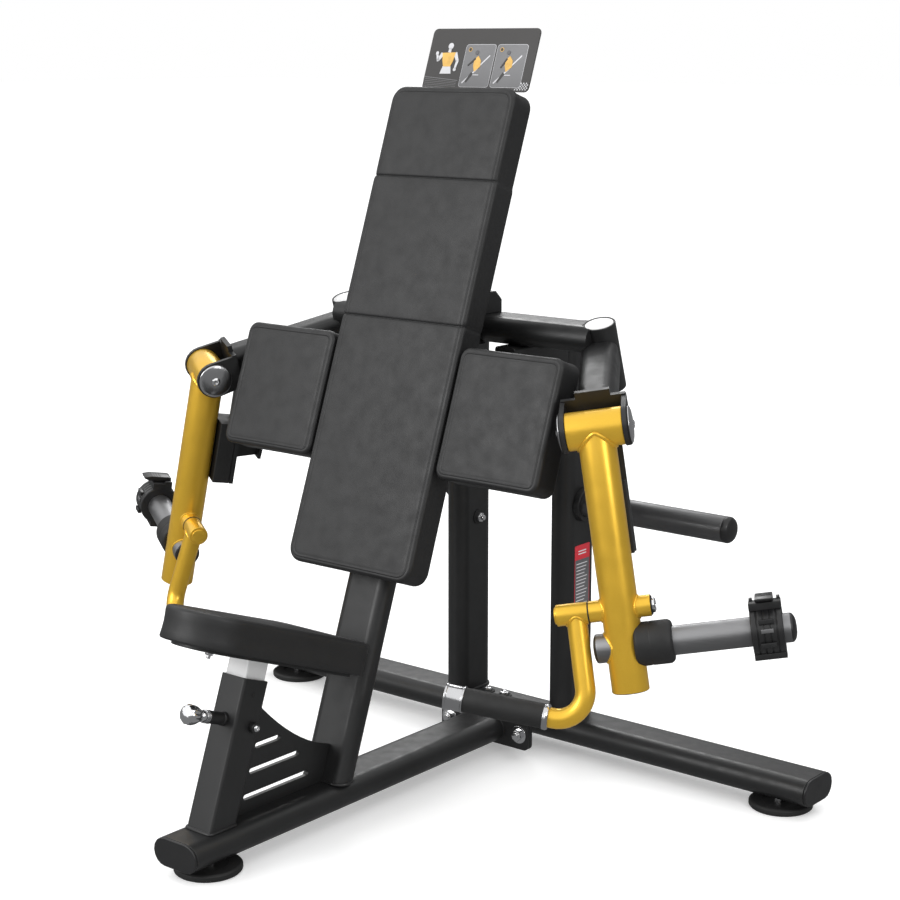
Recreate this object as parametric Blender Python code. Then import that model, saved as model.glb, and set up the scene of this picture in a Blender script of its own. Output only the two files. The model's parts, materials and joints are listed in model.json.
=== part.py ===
"""Plate-loaded lever row with a raked chest pad. Metres, +Z up, seat side at -Y, symmetry plane X = 0."""
import math

import bmesh
import bpy
from mathutils import Vector

for old in list(bpy.data.objects):
    bpy.data.objects.remove(old, do_unlink=True)

# ---- clearances -------------------------------------------------------------------------------
GAP = 0.0003            # between faces that touch
RUN = 0.0004            # radial play where one piece turns or slides in another

# ---- rake shared by the chest pad, its post, the seat post and the seat -----------------------
RAKE = math.radians(20.0)

# ---- base -------------------------------------------------------------------------------------
TUBE_W = 0.103          # wide side of the flat-oval tube
TUBE_T = 0.051          # narrow side of the flat-oval tube
FOOT_H = 0.025
FOOT_R = 0.060
BEAM_FRONT = -0.509     # outer face of the front end cap
CROSS_Y = 0.449         # centre line of the cross beam
CROSS_HALF = 0.696      # outer faces of the cross beam end caps
END_CAP_T = 0.005
FLANGE_Y = 0.344        # bolted joint between the two halves of the base
FLANGE_T = 0.008
FLANGE_W = 0.220
FLANGE_Z0 = 0.019
FLANGE_Z1 = 0.084
FLANGE_R = 0.010
FOOT_INSET = 0.078      # foot centre from the end of its beam

# ---- columns and top tube ---------------------------------------------------------------------
COLUMN_X = 0.131
COLUMN_TOP = 0.866
HEAD_ARM_H = 0.064      # height of the arm that carries the top tube
HEAD_ARM_FRONT = 0.228
TOP_TUBE_Z = 0.871
HEAD_HALF_W = 0.060     # half-width of the bracket between the pad post and the top tube
STUB_X = 0.308
STUB_Y = 0.277          # centre of the housing's upper end
STUB_Z = 0.900
STUB_R = 0.030
STUB_L = 0.130
STUB_CAP_T = 0.004

# ---- link plane and lever pivots --------------------------------------------------------------
LINK_TILT = math.radians(17.8)   # the housings lean towards the seat by this much
LINK_YAW = math.radians(31.9)    # the links turn outwards by this much
LEVER_SWING = math.radians(23.0)  # resting angle of the levers in their own plane
HUB_X = 0.466
HUB_Y = 0.044
HUB_Z = 0.760
HUB_HALF = 0.0485
HUB_R = 0.032
LINK_W = 0.066
LINK_H = 0.074
LINK_CORNER = 0.022
CHEEK_T = 0.008
CHEEK_R = 0.035
PIN_R = 0.010
DOME_R = 0.034
DOME_H = 0.009
WEB_BACK = 0.052        # web plate from the pivot axis, along the link
WEB_T = 0.008

# ---- levers -----------------------------------------------------------------------------------
LEVER_R = 0.032
LEVER_L = 0.448         # pivot axis to the lower end
SWIVEL_DOWN = 0.307     # pivot axis to the handle swivel axis
SWIVEL_R = 0.0185
SWIVEL_HALF = 0.053
BOLT_R = 0.006
PEG_DOWN = 0.371        # pivot axis to the weight peg axis
PEG_R = 0.025
PEG_IN = 0.049          # stub of the peg on the inner side of the lever
PEG_OUT = 0.280
PEG_CAP_H = 0.009
BUMPER_R = 0.0375
BUMPER_END = 0.083
BUMPER_SEAT = 0.012     # inner face of the bumper before it is coped around the lever

# ---- spring collars ---------------------------------------------------------------------------
COLLAR_MID = 0.241
COLLAR_HALF = 0.027
COLLAR_R = 0.041
LATCH_W = 0.030
LATCH_T = 0.011
LATCH_L = 0.058

# ---- handles ----------------------------------------------------------------------------------
HANDLE_SWING = math.radians(30.5)
HANDLE_HUB_L = 0.055
HANDLE_R = 0.0175
HANDLE_DROP = 0.190
HANDLE_BEND = 0.046
HANDLE_END = 0.249      # grip end from the handle's leg
GRIP_LIFT = math.radians(17.5)
GRIP_R = 0.0215
GRIP_START = 0.070

# ---- stops ------------------------------------------------------------------------------------
STOP_TOP = 0.095
STOP_L = 0.125
STOP_W = 0.070
STOP_T = 0.034
STOP_PLATE_T = 0.008

# ---- storage pegs -----------------------------------------------------------------------------
STORE_Z = 0.510
STORE_END = 0.500
STORE_RING_R = 0.034
STORE_RING_T = 0.012

# ---- chest pad, elbow pads and their post -----------------------------------------------------
POST_FOOT_Y = -0.1251   # post axis at beam-top height
POST_T = 0.044          # narrow side of the pad post
POST_TOP_Z = 1.330
PAD_W = 0.297
PAD_L = 0.918
PAD_T = 0.058
PAD_LOW = 0.457         # height of the chest pad's lower edge
PAD_CORNER = 0.030
PAD_EDGE = 0.009
CARRIER_T = 0.004
CARRIER_W = 0.080
ELBOW_IN = 0.151
ELBOW_OUT = 0.379
ELBOW_LOW = 0.196       # above the chest pad's lower edge, along the rake
ELBOW_HIGH = 0.4375
ELBOW_CORNER = 0.022
ELBOW_BAR_HALF = 0.330
PLACARD_W = 0.255
PLACARD_H = 0.123
PLACARD_T = 0.003
PLACARD_TOP = 1.423

# ---- seat -------------------------------------------------------------------------------------
SEAT_POST_Y = -0.422    # post axis at beam-top height
SEAT_POST_W = 0.060
SEAT_POST_L = 0.262
SLIDER_W = 0.050
SLIDER_IN = 0.190       # length of the slider inside the post
SLIDER_OUT = 0.034
SEAT_PLATE_T = 0.006
SEAT_T = 0.060
SEAT_NOSE_R = 0.082
SEAT_FRONT = 0.192      # seat front and back from the post axis
SEAT_BACK = 0.190
SEAT_HALF_W = 0.116
SEAT_CORNER = 0.030
GUSSET_T = 0.008
GUSSET_HIGH = 0.278     # upper edge of the gusset at the seat post and at the pad post
GUSSET_LOW = 0.142
BARREL_R = 0.0125
BARREL_L = 0.050
PULL_DOWN = 0.076       # pull pin below the upper end of the post
PULL_R = 0.0065

X_AXIS = Vector((1, 0, 0))
Y_AXIS = Vector((0, 1, 0))
Z_AXIS = Vector((0, 0, 1))
RISE = Vector((0, math.sin(RAKE), math.cos(RAKE)))
FACE = Vector((0, -math.cos(RAKE), math.sin(RAKE)))
BEAM_Z = FOOT_H + TUBE_T / 2
BEAM_TOP = FOOT_H + TUBE_T


# ---- materials --------------------------------------------------------------------------------
def material(name, colour, rough, metal):
    mat = bpy.data.materials.new(name)
    mat.use_nodes = True
    shader = mat.node_tree.nodes["Principled BSDF"]
    shader.inputs["Base Color"].default_value = (*colour, 1)
    shader.inputs["Roughness"].default_value = rough
    shader.inputs["Metallic"].default_value = metal
    return mat


BLACK = material("black_powder_coat", (0.022, 0.022, 0.022), 0.55, 0.0)
GOLD = material("gold_metallic_coat", (0.62, 0.40, 0.07), 0.35, 0.7)
VINYL = material("black_vinyl", (0.035, 0.035, 0.035), 0.6, 0.0)
STEEL = material("satin_steel", (0.45, 0.45, 0.45), 0.35, 1.0)
CHROME = material("chrome", (0.75, 0.75, 0.75), 0.12, 1.0)
ALLOY = material("bright_alloy", (0.80, 0.80, 0.80), 0.3, 1.0)
RUBBER = material("black_rubber", (0.02, 0.02, 0.02), 0.8, 0.0)
PLASTIC = material("black_plastic", (0.02, 0.02, 0.02), 0.4, 0.0)
SIGN = material("grey_sign", (0.08, 0.08, 0.08), 0.45, 0.0)


# ---- building blocks --------------------------------------------------------------------------
class Frame:
    """Right-handed or mirrored axes: a along, b across, c up, from an origin."""

    def __init__(self, origin, a, b, c):
        self.o = Vector(origin)
        self.a = Vector(a).normalized()
        self.b = Vector(b).normalized()
        self.c = Vector(c).normalized()

    def at(self, a=0.0, b=0.0, c=0.0):
        return self.o + self.a * a + self.b * b + self.c * c

    def moved(self, a=0.0, b=0.0, c=0.0):
        return Frame(self.at(a, b, c), self.a, self.b, self.c)


def finish(name, bm, mat, origin):
    bmesh.ops.recalc_face_normals(bm, faces=bm.faces[:])
    mesh = bpy.data.meshes.new(name)
    bmesh.ops.translate(bm, verts=bm.verts[:], vec=-Vector(origin))
    bm.to_mesh(mesh)
    bm.free()
    obj = bpy.data.objects.new(name, mesh)
    obj.location = origin
    bpy.context.scene.collection.objects.link(obj)
    mesh.materials.append(mat)
    bpy.context.view_layer.update()
    return obj


def rings(name, loops, mat, origin=(0, 0, 0)):
    """A closed skin over loops of equal length, with a flat face on the first and the last."""
    bm = bmesh.new()
    rows = [[bm.verts.new(p) for p in loop] for loop in loops]
    count = len(rows[0])
    bm.faces.new(rows[0][::-1])
    bm.faces.new(rows[-1])
    for low, high in zip(rows, rows[1:]):
        for i in range(count):
            j = (i + 1) % count
            bm.faces.new((low[i], low[j], high[j], high[i]))
    return finish(name, bm, mat, origin)


def ring_tube(name, outer, inner, mat, origin=(0, 0, 0)):
    """A closed pipe: outer and inner are lists of matching loops from one end to the other."""
    bm = bmesh.new()
    out_rows = [[bm.verts.new(p) for p in loop] for loop in outer]
    in_rows = [[bm.verts.new(p) for p in loop] for loop in inner]
    count = len(out_rows[0])
    skins = out_rows + in_rows[::-1] + [out_rows[0]]
    for low, high in zip(skins, skins[1:]):
        for i in range(count):
            j = (i + 1) % count
            bm.faces.new((low[i], low[j], high[j], high[i]))
    return finish(name, bm, mat, origin)


def arc(cx, cy, r, a0, a1, n):
    steps = [math.radians(a0 + (a1 - a0) * i / n) for i in range(n + 1)]
    return [(cx + r * math.cos(t), cy + r * math.sin(t)) for t in steps]


def oval(w, t, n=8):
    """Flat-oval outline, w along the first axis and t along the second."""
    h = (w - t) / 2
    return arc(h, 0, t / 2, -90, 90, n) + arc(-h, 0, t / 2, 90, 270, n)


def box(w, h, r=0.0, n=4):
    x, y = w / 2, h / 2
    if r == 0:
        return [(x, -y), (x, y), (-x, y), (-x, -y)]
    out = arc(x - r, y - r, r, 0, 90, n) + arc(-x + r, y - r, r, 90, 180, n)
    return out + arc(-x + r, -y + r, r, 180, 270, n) + arc(x - r, -y + r, r, 270, 360, n)


def circle(r, n=28):
    return arc(0, 0, r, 0, 360 - 360 / n, n - 1)


def slab(name, outline, frame, start, end, mat, origin=None):
    """Extrudes an outline in the frame's b, c plane from start to end along a."""
    low = [frame.at(start, p[0], p[1]) for p in outline]
    high = [frame.at(end, p[0], p[1]) for p in outline]
    return rings(name, [low, high], mat, frame.o if origin is None else origin)


def onto(point, along, plane_at, normal):
    """Slides a point along a direction onto a plane."""
    return point + along * ((plane_at - point).dot(normal) / along.dot(normal))


def lathe(name, profile, frame, mat, n=28, origin=None):
    """Turns (along, radius) pairs about the frame's a axis."""
    loops = [[frame.at(a, p[0], p[1]) for p in circle(r, n)] for a, r in profile]
    return rings(name, loops, mat, frame.o if origin is None else origin)


def bored(name, profile, bore, frame, mat, n=28, origin=None):
    """A turned piece with a straight hole along its axis."""
    outer = [[frame.at(a, p[0], p[1]) for p in circle(r, n)] for a, r in profile]
    inner = [[frame.at(a, p[0], p[1]) for p in circle(bore, n)] for a in (profile[0][0], profile[-1][0])]
    return ring_tube(name, outer, inner, mat, frame.o if origin is None else origin)


def combine(target, tool, how):
    """Joins or cuts with an exact boolean, then drops the tool."""
    mod = target.modifiers.new(how, "BOOLEAN")
    mod.operation = how
    mod.solver = "EXACT"
    mod.object = tool
    tool.hide_render = True
    tool.display_type = "WIRE"
    bpy.context.view_layer.update()
    graph = bpy.context.evaluated_depsgraph_get()
    mesh = bpy.data.meshes.new_from_object(target.evaluated_get(graph))
    mesh.name = target.name
    target.modifiers.clear()
    target.data = mesh
    bpy.data.objects.remove(tool, do_unlink=True)
    return target


def join(target, *tools):
    for tool in tools:
        combine(target, tool, "UNION")
    return target


def cut(target, *tools):
    for tool in tools:
        combine(target, tool, "DIFFERENCE")
    return target


def cushion(name, outline_at, frame, thickness, edge, mat, steps=3):
    """A pad along the frame's a axis with rounded front and back edges."""
    low = []
    for i in range(steps + 1):
        t = math.radians(90 * i / steps)
        low.append((edge * (1 - math.cos(t)), edge * (1 - math.sin(t))))
    high = [(thickness - a, inset) for a, inset in low[::-1]]
    skins = [[frame.at(a, p[0], p[1]) for p in outline_at(inset)] for a, inset in low + high]
    return rings(name, skins, mat, frame.o)


def mirrored(side, v):
    return Vector((side * v[0], v[1], v[2]))


# ---- base -------------------------------------------------------------------------------------
def build_base():
    flat = Frame((0, 0, BEAM_Z), Y_AXIS, X_AXIS, Z_AXIS)
    beam_start = BEAM_FRONT + END_CAP_T + GAP
    beam = slab("base_beam", oval(TUBE_W, TUBE_T), flat, beam_start, FLANGE_Y - FLANGE_T / 2, BLACK)
    flange_mid = Frame((0, 0, (FLANGE_Z0 + FLANGE_Z1) / 2), Y_AXIS, X_AXIS, Z_AXIS)
    flange = box(FLANGE_W, FLANGE_Z1 - FLANGE_Z0, FLANGE_R)
    front_face = FLANGE_Y - GAP / 2
    join(beam, slab("tool", flange, flange_mid, front_face - FLANGE_T, front_face, BLACK))
    slab("base_end_cap", oval(TUBE_W, TUBE_T), flat, BEAM_FRONT, BEAM_FRONT + END_CAP_T, PLASTIC)

    across = Frame((0, CROSS_Y, BEAM_Z), X_AXIS, Y_AXIS, Z_AXIS)
    half = CROSS_HALF - END_CAP_T - GAP
    cross = slab("cross_beam", oval(TUBE_W, TUBE_T), across, -half, half, BLACK)
    rear_face = FLANGE_Y + GAP / 2
    join(cross, slab("tool", oval(TUBE_W, TUBE_T), flat, rear_face + FLANGE_T / 2, CROSS_Y, BLACK))
    join(cross, slab("tool", flange, flange_mid, rear_face, rear_face + FLANGE_T, BLACK))
    for side, tag in ((1, "right"), (-1, "left")):
        outer = side * CROSS_HALF
        inner = side * (CROSS_HALF - END_CAP_T)
        low, high = sorted((inner, outer))
        slab("cross_end_cap_" + tag, oval(TUBE_W, TUBE_T), across, low, high, PLASTIC)
        foot("foot_" + tag, side * (CROSS_HALF - FOOT_INSET), CROSS_Y)
    foot("foot_front", 0, BEAM_FRONT + FOOT_INSET)


def foot(name, x, y):
    top = FOOT_H - GAP
    profile = [(0, FOOT_R - 0.003), (0.003, FOOT_R), (0.014, FOOT_R), (0.018, FOOT_R - 0.004)]
    profile += [(top - 0.003, 0.030), (top, 0.028)]
    lathe(name, profile, Frame((x, y, 0), Z_AXIS, X_AXIS, Y_AXIS), RUBBER)


# ---- columns and top tube ---------------------------------------------------------------------
def stub_frame(side):
    """Axis a runs down the housing from its upper end."""
    down = Vector((0, math.sin(LINK_TILT), -math.cos(LINK_TILT)))
    return Frame((side * STUB_X, STUB_Y, STUB_Z), down, X_AXIS * side, down.cross(X_AXIS * side))


def build_columns():
    foot_z = BEAM_TOP + GAP
    tube_low = TOP_TUBE_Z - TUBE_T / 2
    for side, tag in ((1, "right"), (-1, "left")):
        up = Frame((side * COLUMN_X, CROSS_Y, 0), Z_AXIS, Y_AXIS, X_AXIS)
        foot_at = (side * COLUMN_X, CROSS_Y, foot_z)
        slab("column_" + tag, oval(TUBE_W, TUBE_T), up, foot_z, COLUMN_TOP, BLACK, foot_at)
        arm_mid = tube_low - GAP - HEAD_ARM_H / 2
        forward = Frame((side * COLUMN_X, 0, arm_mid), Y_AXIS, X_AXIS, Z_AXIS)
        arm_back = CROSS_Y - TUBE_W / 2 - GAP
        section = box(TUBE_T - 0.004, HEAD_ARM_H, 0.006)
        arm = slab("head_arm_" + tag, section, forward, HEAD_ARM_FRONT, arm_back, BLACK)
        room = oval(TUBE_W + 2 * GAP, TUBE_T + 2 * GAP)
        cut(arm, slab("tool", room, up, arm_mid - HEAD_ARM_H, arm_mid + HEAD_ARM_H, BLACK))
    along = Frame((0, top_tube_y(), TOP_TUBE_Z), X_AXIS, Y_AXIS, Z_AXIS)
    tube = slab("top_cross_tube", oval(TUBE_W, TUBE_T), along, -STUB_X, STUB_X, BLACK)
    for side, tag in ((1, "right"), (-1, "left")):
        f = stub_frame(side)
        cut(tube, lathe("tool", [(-0.1, STUB_R + GAP), (STUB_L + 0.1, STUB_R + GAP)], f, BLACK))
        lathe("stub_housing_" + tag, [(STUB_CAP_T + GAP, STUB_R), (STUB_L, STUB_R)], f, BLACK)
        cap = [(0, STUB_R - 0.004), (0.0015, STUB_R - 0.002), (STUB_CAP_T, STUB_R - 0.002)]
        lathe("stub_cap_" + tag, cap, f, ALLOY)


def top_tube_y():
    """The top tube meets the housings on their axis."""
    return STUB_Y + (STUB_Z - TOP_TUBE_Z) * math.tan(LINK_TILT)


# ---- posts, gusset and seat -------------------------------------------------------------------
def raked(y_at_beam):
    """Axis a runs up the rake, b across to +X, c out of the front face."""
    return Frame((0, y_at_beam, BEAM_TOP), RISE, X_AXIS, FACE)


def raked_tube(name, outline, frame, top, mat, bore=None):
    base = Vector((0, 0, BEAM_TOP + GAP))
    low = [onto(frame.at(0, p[0], p[1]), RISE, base, Z_AXIS) for p in outline]
    high = [frame.at(top, p[0], p[1]) for p in outline]
    if bore is None:
        return rings(name, [low, high], mat, frame.o)
    low_in = [onto(frame.at(0, p[0], p[1]), RISE, base, Z_AXIS) for p in bore]
    high_in = [frame.at(top, p[0], p[1]) for p in bore]
    return ring_tube(name, [low, high], [low_in, high_in], mat, frame.o)


def build_posts():
    post = raked(POST_FOOT_Y)
    post_len = (POST_TOP_Z - BEAM_TOP) / math.cos(RAKE)
    raked_tube("pad_post", oval(TUBE_W, POST_T), post, post_len, BLACK)

    seat = raked(SEAT_POST_Y)
    inner = SLIDER_W + 2 * GAP
    outer = box(SEAT_POST_W, SEAT_POST_W, 0.006)
    raked_tube("seat_post", outer, seat, SEAT_POST_L, BLACK, box(inner, inner, 0.004))
    post_obj = bpy.data.objects["seat_post"]
    pull = pull_frame()
    cut(post_obj, lathe("tool", [(-0.020, PULL_R + RUN), (0.020, PULL_R + RUN)], pull, BLACK, 20))

    slider_top = SEAT_POST_L + SLIDER_OUT
    slider_low = SEAT_POST_L - SLIDER_IN
    slab("seat_slider", box(SLIDER_W, SLIDER_W, 0.004), seat, slider_low, slider_top, STEEL)
    plate = seat.moved(slider_top + GAP)
    slab("seat_plate", seat_outline(0.022), plate, 0, SEAT_PLATE_T, BLACK)
    cushion("seat_pad", seat_outline, plate.moved(SEAT_PLATE_T + GAP), SEAT_T, PAD_EDGE, VINYL)

    build_gusset(post, seat)

    barrel = [(GAP, BARREL_R), (BARREL_L - 0.003, BARREL_R), (BARREL_L, BARREL_R - 0.003)]
    bored("pin_barrel", barrel, PULL_R + RUN, pull, PLASTIC, 24)
    knob = BARREL_L + GAP
    pin = [(-0.0045, PULL_R), (knob, PULL_R), (knob + 0.0001, 0.0105), (knob + 0.006, 0.0105)]
    pin += [(knob + 0.008, 0.008), (knob + 0.012, 0.008), (knob + 0.018, 0.014), (knob + 0.027, 0.018)]
    pin += [(knob + 0.036, 0.018), (knob + 0.043, 0.013), (knob + 0.046, 0.006)]
    lathe("pull_pin", pin, pull, CHROME, 24)


def pull_frame():
    """Axis a points out of the seat post's front face."""
    seat = raked(SEAT_POST_Y)
    return Frame(seat.at(SEAT_POST_L - PULL_DOWN, 0, SEAT_POST_W / 2), FACE, X_AXIS, RISE)


def seat_outline(inset, n=44):
    """Tapered seat: b across, c towards the front, as a hull of a nose circle and two corners."""
    circles = [(0.0, SEAT_FRONT - SEAT_NOSE_R, SEAT_NOSE_R)]
    for side in (1, -1):
        circles.append((side * (SEAT_HALF_W - SEAT_CORNER), -SEAT_BACK + SEAT_CORNER, SEAT_CORNER))
    points = []
    for i in range(n):
        t = 2 * math.pi * (i + 0.5) / n
        nx, ny = math.cos(t), math.sin(t)
        x, y, r = max(circles, key=lambda c: c[0] * nx + c[1] * ny + c[2])
        points.append((x + (r - inset) * nx, y + (r - inset) * ny))
    return points


def build_gusset(post, seat):
    """Plate in the symmetry plane between the two raked posts."""
    side = Frame((0, 0, 0), X_AXIS, Y_AXIS, Z_AXIS)
    slope = math.tan(RAKE)
    base = BEAM_TOP + GAP

    def back_of_seat(z):
        return SEAT_POST_Y + (SEAT_POST_W / 2 + GAP) / math.cos(RAKE) + (z - BEAM_TOP) * slope

    def front_of_pad(z):
        return POST_FOOT_Y - (POST_T / 2 + GAP) / math.cos(RAKE) + (z - BEAM_TOP) * slope

    high, low = GUSSET_HIGH, GUSSET_LOW
    ya, yb = back_of_seat(high), front_of_pad(low)
    curve = []
    for i in range(11):
        t = i / 10
        sag = 4 * 0.020 * t * (1 - t)
        curve.append((ya + (yb - ya) * t, high + (low - high) * t - sag))
    outline = [(back_of_seat(base), base), (front_of_pad(base), base)] + curve[::-1]
    plate = slab("gusset_plate", outline, side, -GUSSET_T / 2, GUSSET_T / 2, BLACK)
    for z, length in ((0.105, 0.165), (0.149, 0.126), (0.192, 0.064)):
        start = back_of_seat(z) + 0.032
        hole = side.moved(0, start + length / 2, z)
        cut(plate, slab("tool", box(length, 0.010, 0.0045), hole, -0.02, 0.02, BLACK))


# ---- chest pad, elbow pads, placard -----------------------------------------------------------
def build_pads():
    post = raked(POST_FOOT_Y)
    carrier_back = POST_T / 2 + GAP
    pad_back = carrier_back + CARRIER_T + GAP
    front_low = (PAD_LOW - BEAM_TOP - (pad_back + PAD_T) * math.sin(RAKE)) / math.cos(RAKE)

    def on_face(up, across, out):
        return Frame(post.at(up, across, out), FACE, X_AXIS, RISE)

    mid = on_face(front_low + PAD_L / 2, 0, pad_back)

    def pad_outline(d):
        return box(PAD_W - 2 * d, PAD_L - 2 * d, PAD_CORNER - d, 4)

    cushion("main_pad", pad_outline, mid, PAD_T, PAD_EDGE, VINYL)
    elbow_h = ELBOW_HIGH - ELBOW_LOW
    elbow_w = ELBOW_OUT - ELBOW_IN
    elbow_up = front_low + ELBOW_LOW + elbow_h / 2

    def elbow_outline(d):
        return box(elbow_w - 2 * d, elbow_h - 2 * d, ELBOW_CORNER - d, 4)

    for side, tag in ((1, "right"), (-1, "left")):
        f = on_face(elbow_up, side * (ELBOW_IN + elbow_w / 2), pad_back)
        cushion("elbow_pad_" + tag, elbow_outline, f, PAD_T, PAD_EDGE, VINYL)
    tall = on_face(front_low + PAD_L / 2, 0, carrier_back)
    carrier = slab("pad_carrier", box(CARRIER_W, PAD_L - 0.14, 0.008), tall, 0, CARRIER_T, BLACK)
    bar = on_face(elbow_up, 0, carrier_back)
    join(carrier, slab("tool", box(2 * ELBOW_BAR_HALF, CARRIER_W, 0.008), bar, 0, CARRIER_T, BLACK))

    sign_up = (PLACARD_TOP - BEAM_TOP - carrier_back * math.sin(RAKE)) / math.cos(RAKE) - PLACARD_H / 2
    sign = on_face(sign_up, 0, carrier_back)
    slab("placard", box(PLACARD_W, PLACARD_H, 0.010), sign, 0, PLACARD_T, SIGN)

    up = (TOP_TUBE_Z - BEAM_TOP) / math.cos(RAKE)
    rear = onto(post.at(up, 0, -(POST_T / 2 + GAP)), RISE, Vector((0, 0, TOP_TUBE_Z)), Z_AXIS)
    level = Frame((0, 0, TOP_TUBE_Z), X_AXIS, Y_AXIS, Z_AXIS)
    tube_face = top_tube_y() - TUBE_W / 2
    slope = math.tan(RAKE)
    low, mid_z, high = 0.030, 0.050, 0.067
    over = tube_face + 0.076
    sides = [(rear.y - low * slope, -low), (tube_face + TUBE_T / 2, -low)]
    sides += [(tube_face + TUBE_T / 2, 0), (over, 0), (over, mid_z)]
    sides += [(over - 0.018, high), (rear.y + high * slope, high)]
    head = slab("post_head_bracket", sides, level, -HEAD_HALF_W, HEAD_HALF_W, BLACK)
    around = Frame((0, top_tube_y(), TOP_TUBE_Z), X_AXIS, Y_AXIS, Z_AXIS)
    cut(head, slab("tool", oval(TUBE_W + 2 * GAP, TUBE_T + 2 * GAP), around, -0.1, 0.1, BLACK))


# ---- links, levers, handles -------------------------------------------------------------------
class Side:
    """Directions of one lever: link, hub axis, lever, and the way it swings."""

    def __init__(self, side):
        up = Vector((0, -math.sin(LINK_TILT), math.cos(LINK_TILT)))
        level = Vector((0, math.cos(LINK_TILT), math.sin(LINK_TILT)))
        out = mirrored(side, math.sin(LINK_YAW) * X_AXIS - math.cos(LINK_YAW) * level)
        axis = mirrored(side, math.cos(LINK_YAW) * X_AXIS + math.sin(LINK_YAW) * level)
        self.side = side
        self.tag = "right" if side > 0 else "left"
        self.up = up
        self.link = out
        self.axis = axis
        self.lever = -up * math.cos(LEVER_SWING) + out * math.sin(LEVER_SWING)
        self.swing = up * math.sin(LEVER_SWING) + out * math.cos(LEVER_SWING)
        self.leg = -up * math.cos(HANDLE_SWING) + out * math.sin(HANDLE_SWING)
        self.leg_side = up * math.sin(HANDLE_SWING) + out * math.cos(HANDLE_SWING)
        self.hub = Vector((side * HUB_X, HUB_Y, HUB_Z))

    def turned(self, point, outwards=True):
        """Frame whose a axis is the hub axis, outwards or inwards."""
        a = self.axis if outwards else -self.axis
        return Frame(point, a, self.lever, self.swing)


def build_link(s):
    stub = stub_frame(s.side)
    start = stub.at(STUB_L / 2)
    reach = (s.hub - start).dot(s.link)
    run = Frame(s.hub, -s.link, s.axis, s.up)
    link = slab("link_" + s.tag, box(LINK_W, LINK_H, LINK_CORNER, 5), run, WEB_BACK, reach, BLACK)
    cut(link, lathe("tool", [(-0.1, STUB_R + GAP), (STUB_L + 0.1, STUB_R + GAP)], stub, BLACK))
    room = box(LINK_W + 2 * GAP, LINK_H + 2 * GAP, LINK_CORNER + GAP, 5)
    cut(bpy.data.objects["top_cross_tube"], slab("tool", room, run, WEB_BACK, reach + STUB_R, BLACK))
    cheek_in = HUB_HALF + GAP
    cheek_out = cheek_in + CHEEK_T
    web = [(cheek_out - 0.001, -0.026), (cheek_out - 0.001, 0.038), (0.030, 0.038), (0.030, 0.050)]
    web += [(-0.030, 0.050), (-0.030, 0.038), (-cheek_out + 0.001, 0.038), (-cheek_out + 0.001, -0.026)]
    join(link, slab("tool", web, run, WEB_BACK - WEB_T, WEB_BACK + 0.001, BLACK))
    plate = arc(0, 0, CHEEK_R, 90, 270, 12)
    plate += [(WEB_BACK, -0.030), (WEB_BACK, 0.036)]
    for sign in (1, -1):
        cheek = Frame(s.hub, s.axis * sign, -s.link, s.up)
        join(link, slab("tool", plate, cheek, cheek_in, cheek_out, BLACK))
    hole = s.turned(s.hub)
    cut(link, lathe("tool", [(-0.1, PIN_R + RUN), (0.1, PIN_R + RUN)], hole, BLACK, 20))
    stop_in = LEVER_R + GAP + STOP_T + GAP
    strip = Frame(s.hub, s.axis, s.lever, -s.swing)
    edge = [(-0.012, stop_in), (STOP_TOP + STOP_L, stop_in), (STOP_TOP + STOP_L, stop_in + STOP_PLATE_T)]
    edge += [(-0.012, stop_in + STOP_PLATE_T)]
    join(link, slab("tool", edge, strip, -STOP_W / 2, STOP_W / 2, BLACK))
    rib = [(-0.005, stop_in + STOP_PLATE_T - 0.001), (STOP_TOP + 0.080, stop_in + STOP_PLATE_T - 0.001)]
    rib_out = stop_in + 0.062
    rib += [(STOP_TOP + 0.070, rib_out - 0.004), (STOP_TOP + 0.030, rib_out), (-0.036, rib_out)]
    join(link, slab("tool", rib, strip, -0.004, 0.004, BLACK))
    toe = [(STOP_TOP + 0.024, rib_out - 0.003), (STOP_TOP + 0.074, rib_out - 0.006)]
    toe += [(STOP_TOP + 0.074, rib_out), (STOP_TOP + 0.024, rib_out + 0.003)]
    join(link, slab("tool", toe, strip, -0.020, 0.020, BLACK))

    pad = [(STOP_TOP, LEVER_R + GAP), (STOP_TOP + STOP_L, LEVER_R + GAP)]
    pad += [(STOP_TOP + STOP_L, stop_in - GAP), (STOP_TOP, stop_in - GAP)]
    slab("stop_block_" + s.tag, pad, strip, -STOP_W / 2, STOP_W / 2, RUBBER)

    face = cheek_out + GAP
    pin = [(-face, PIN_R), (face, PIN_R), (face + 0.0001, DOME_R), (face + 0.003, DOME_R)]
    pin += [(face + 0.006, DOME_R - 0.005), (face + DOME_H, 0.012), (face + DOME_H + 0.001, 0.008)]
    lathe("pivot_pin_" + s.tag, pin, s.turned(s.hub), STEEL, 24)
    nut = [(face + GAP, DOME_R), (face + 0.003, DOME_R), (face + 0.006, DOME_R - 0.005)]
    nut += [(face + DOME_H, 0.012), (face + DOME_H + 0.001, 0.008)]
    lathe("pivot_cover_" + s.tag, nut, s.turned(s.hub, False), STEEL, 24)


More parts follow.
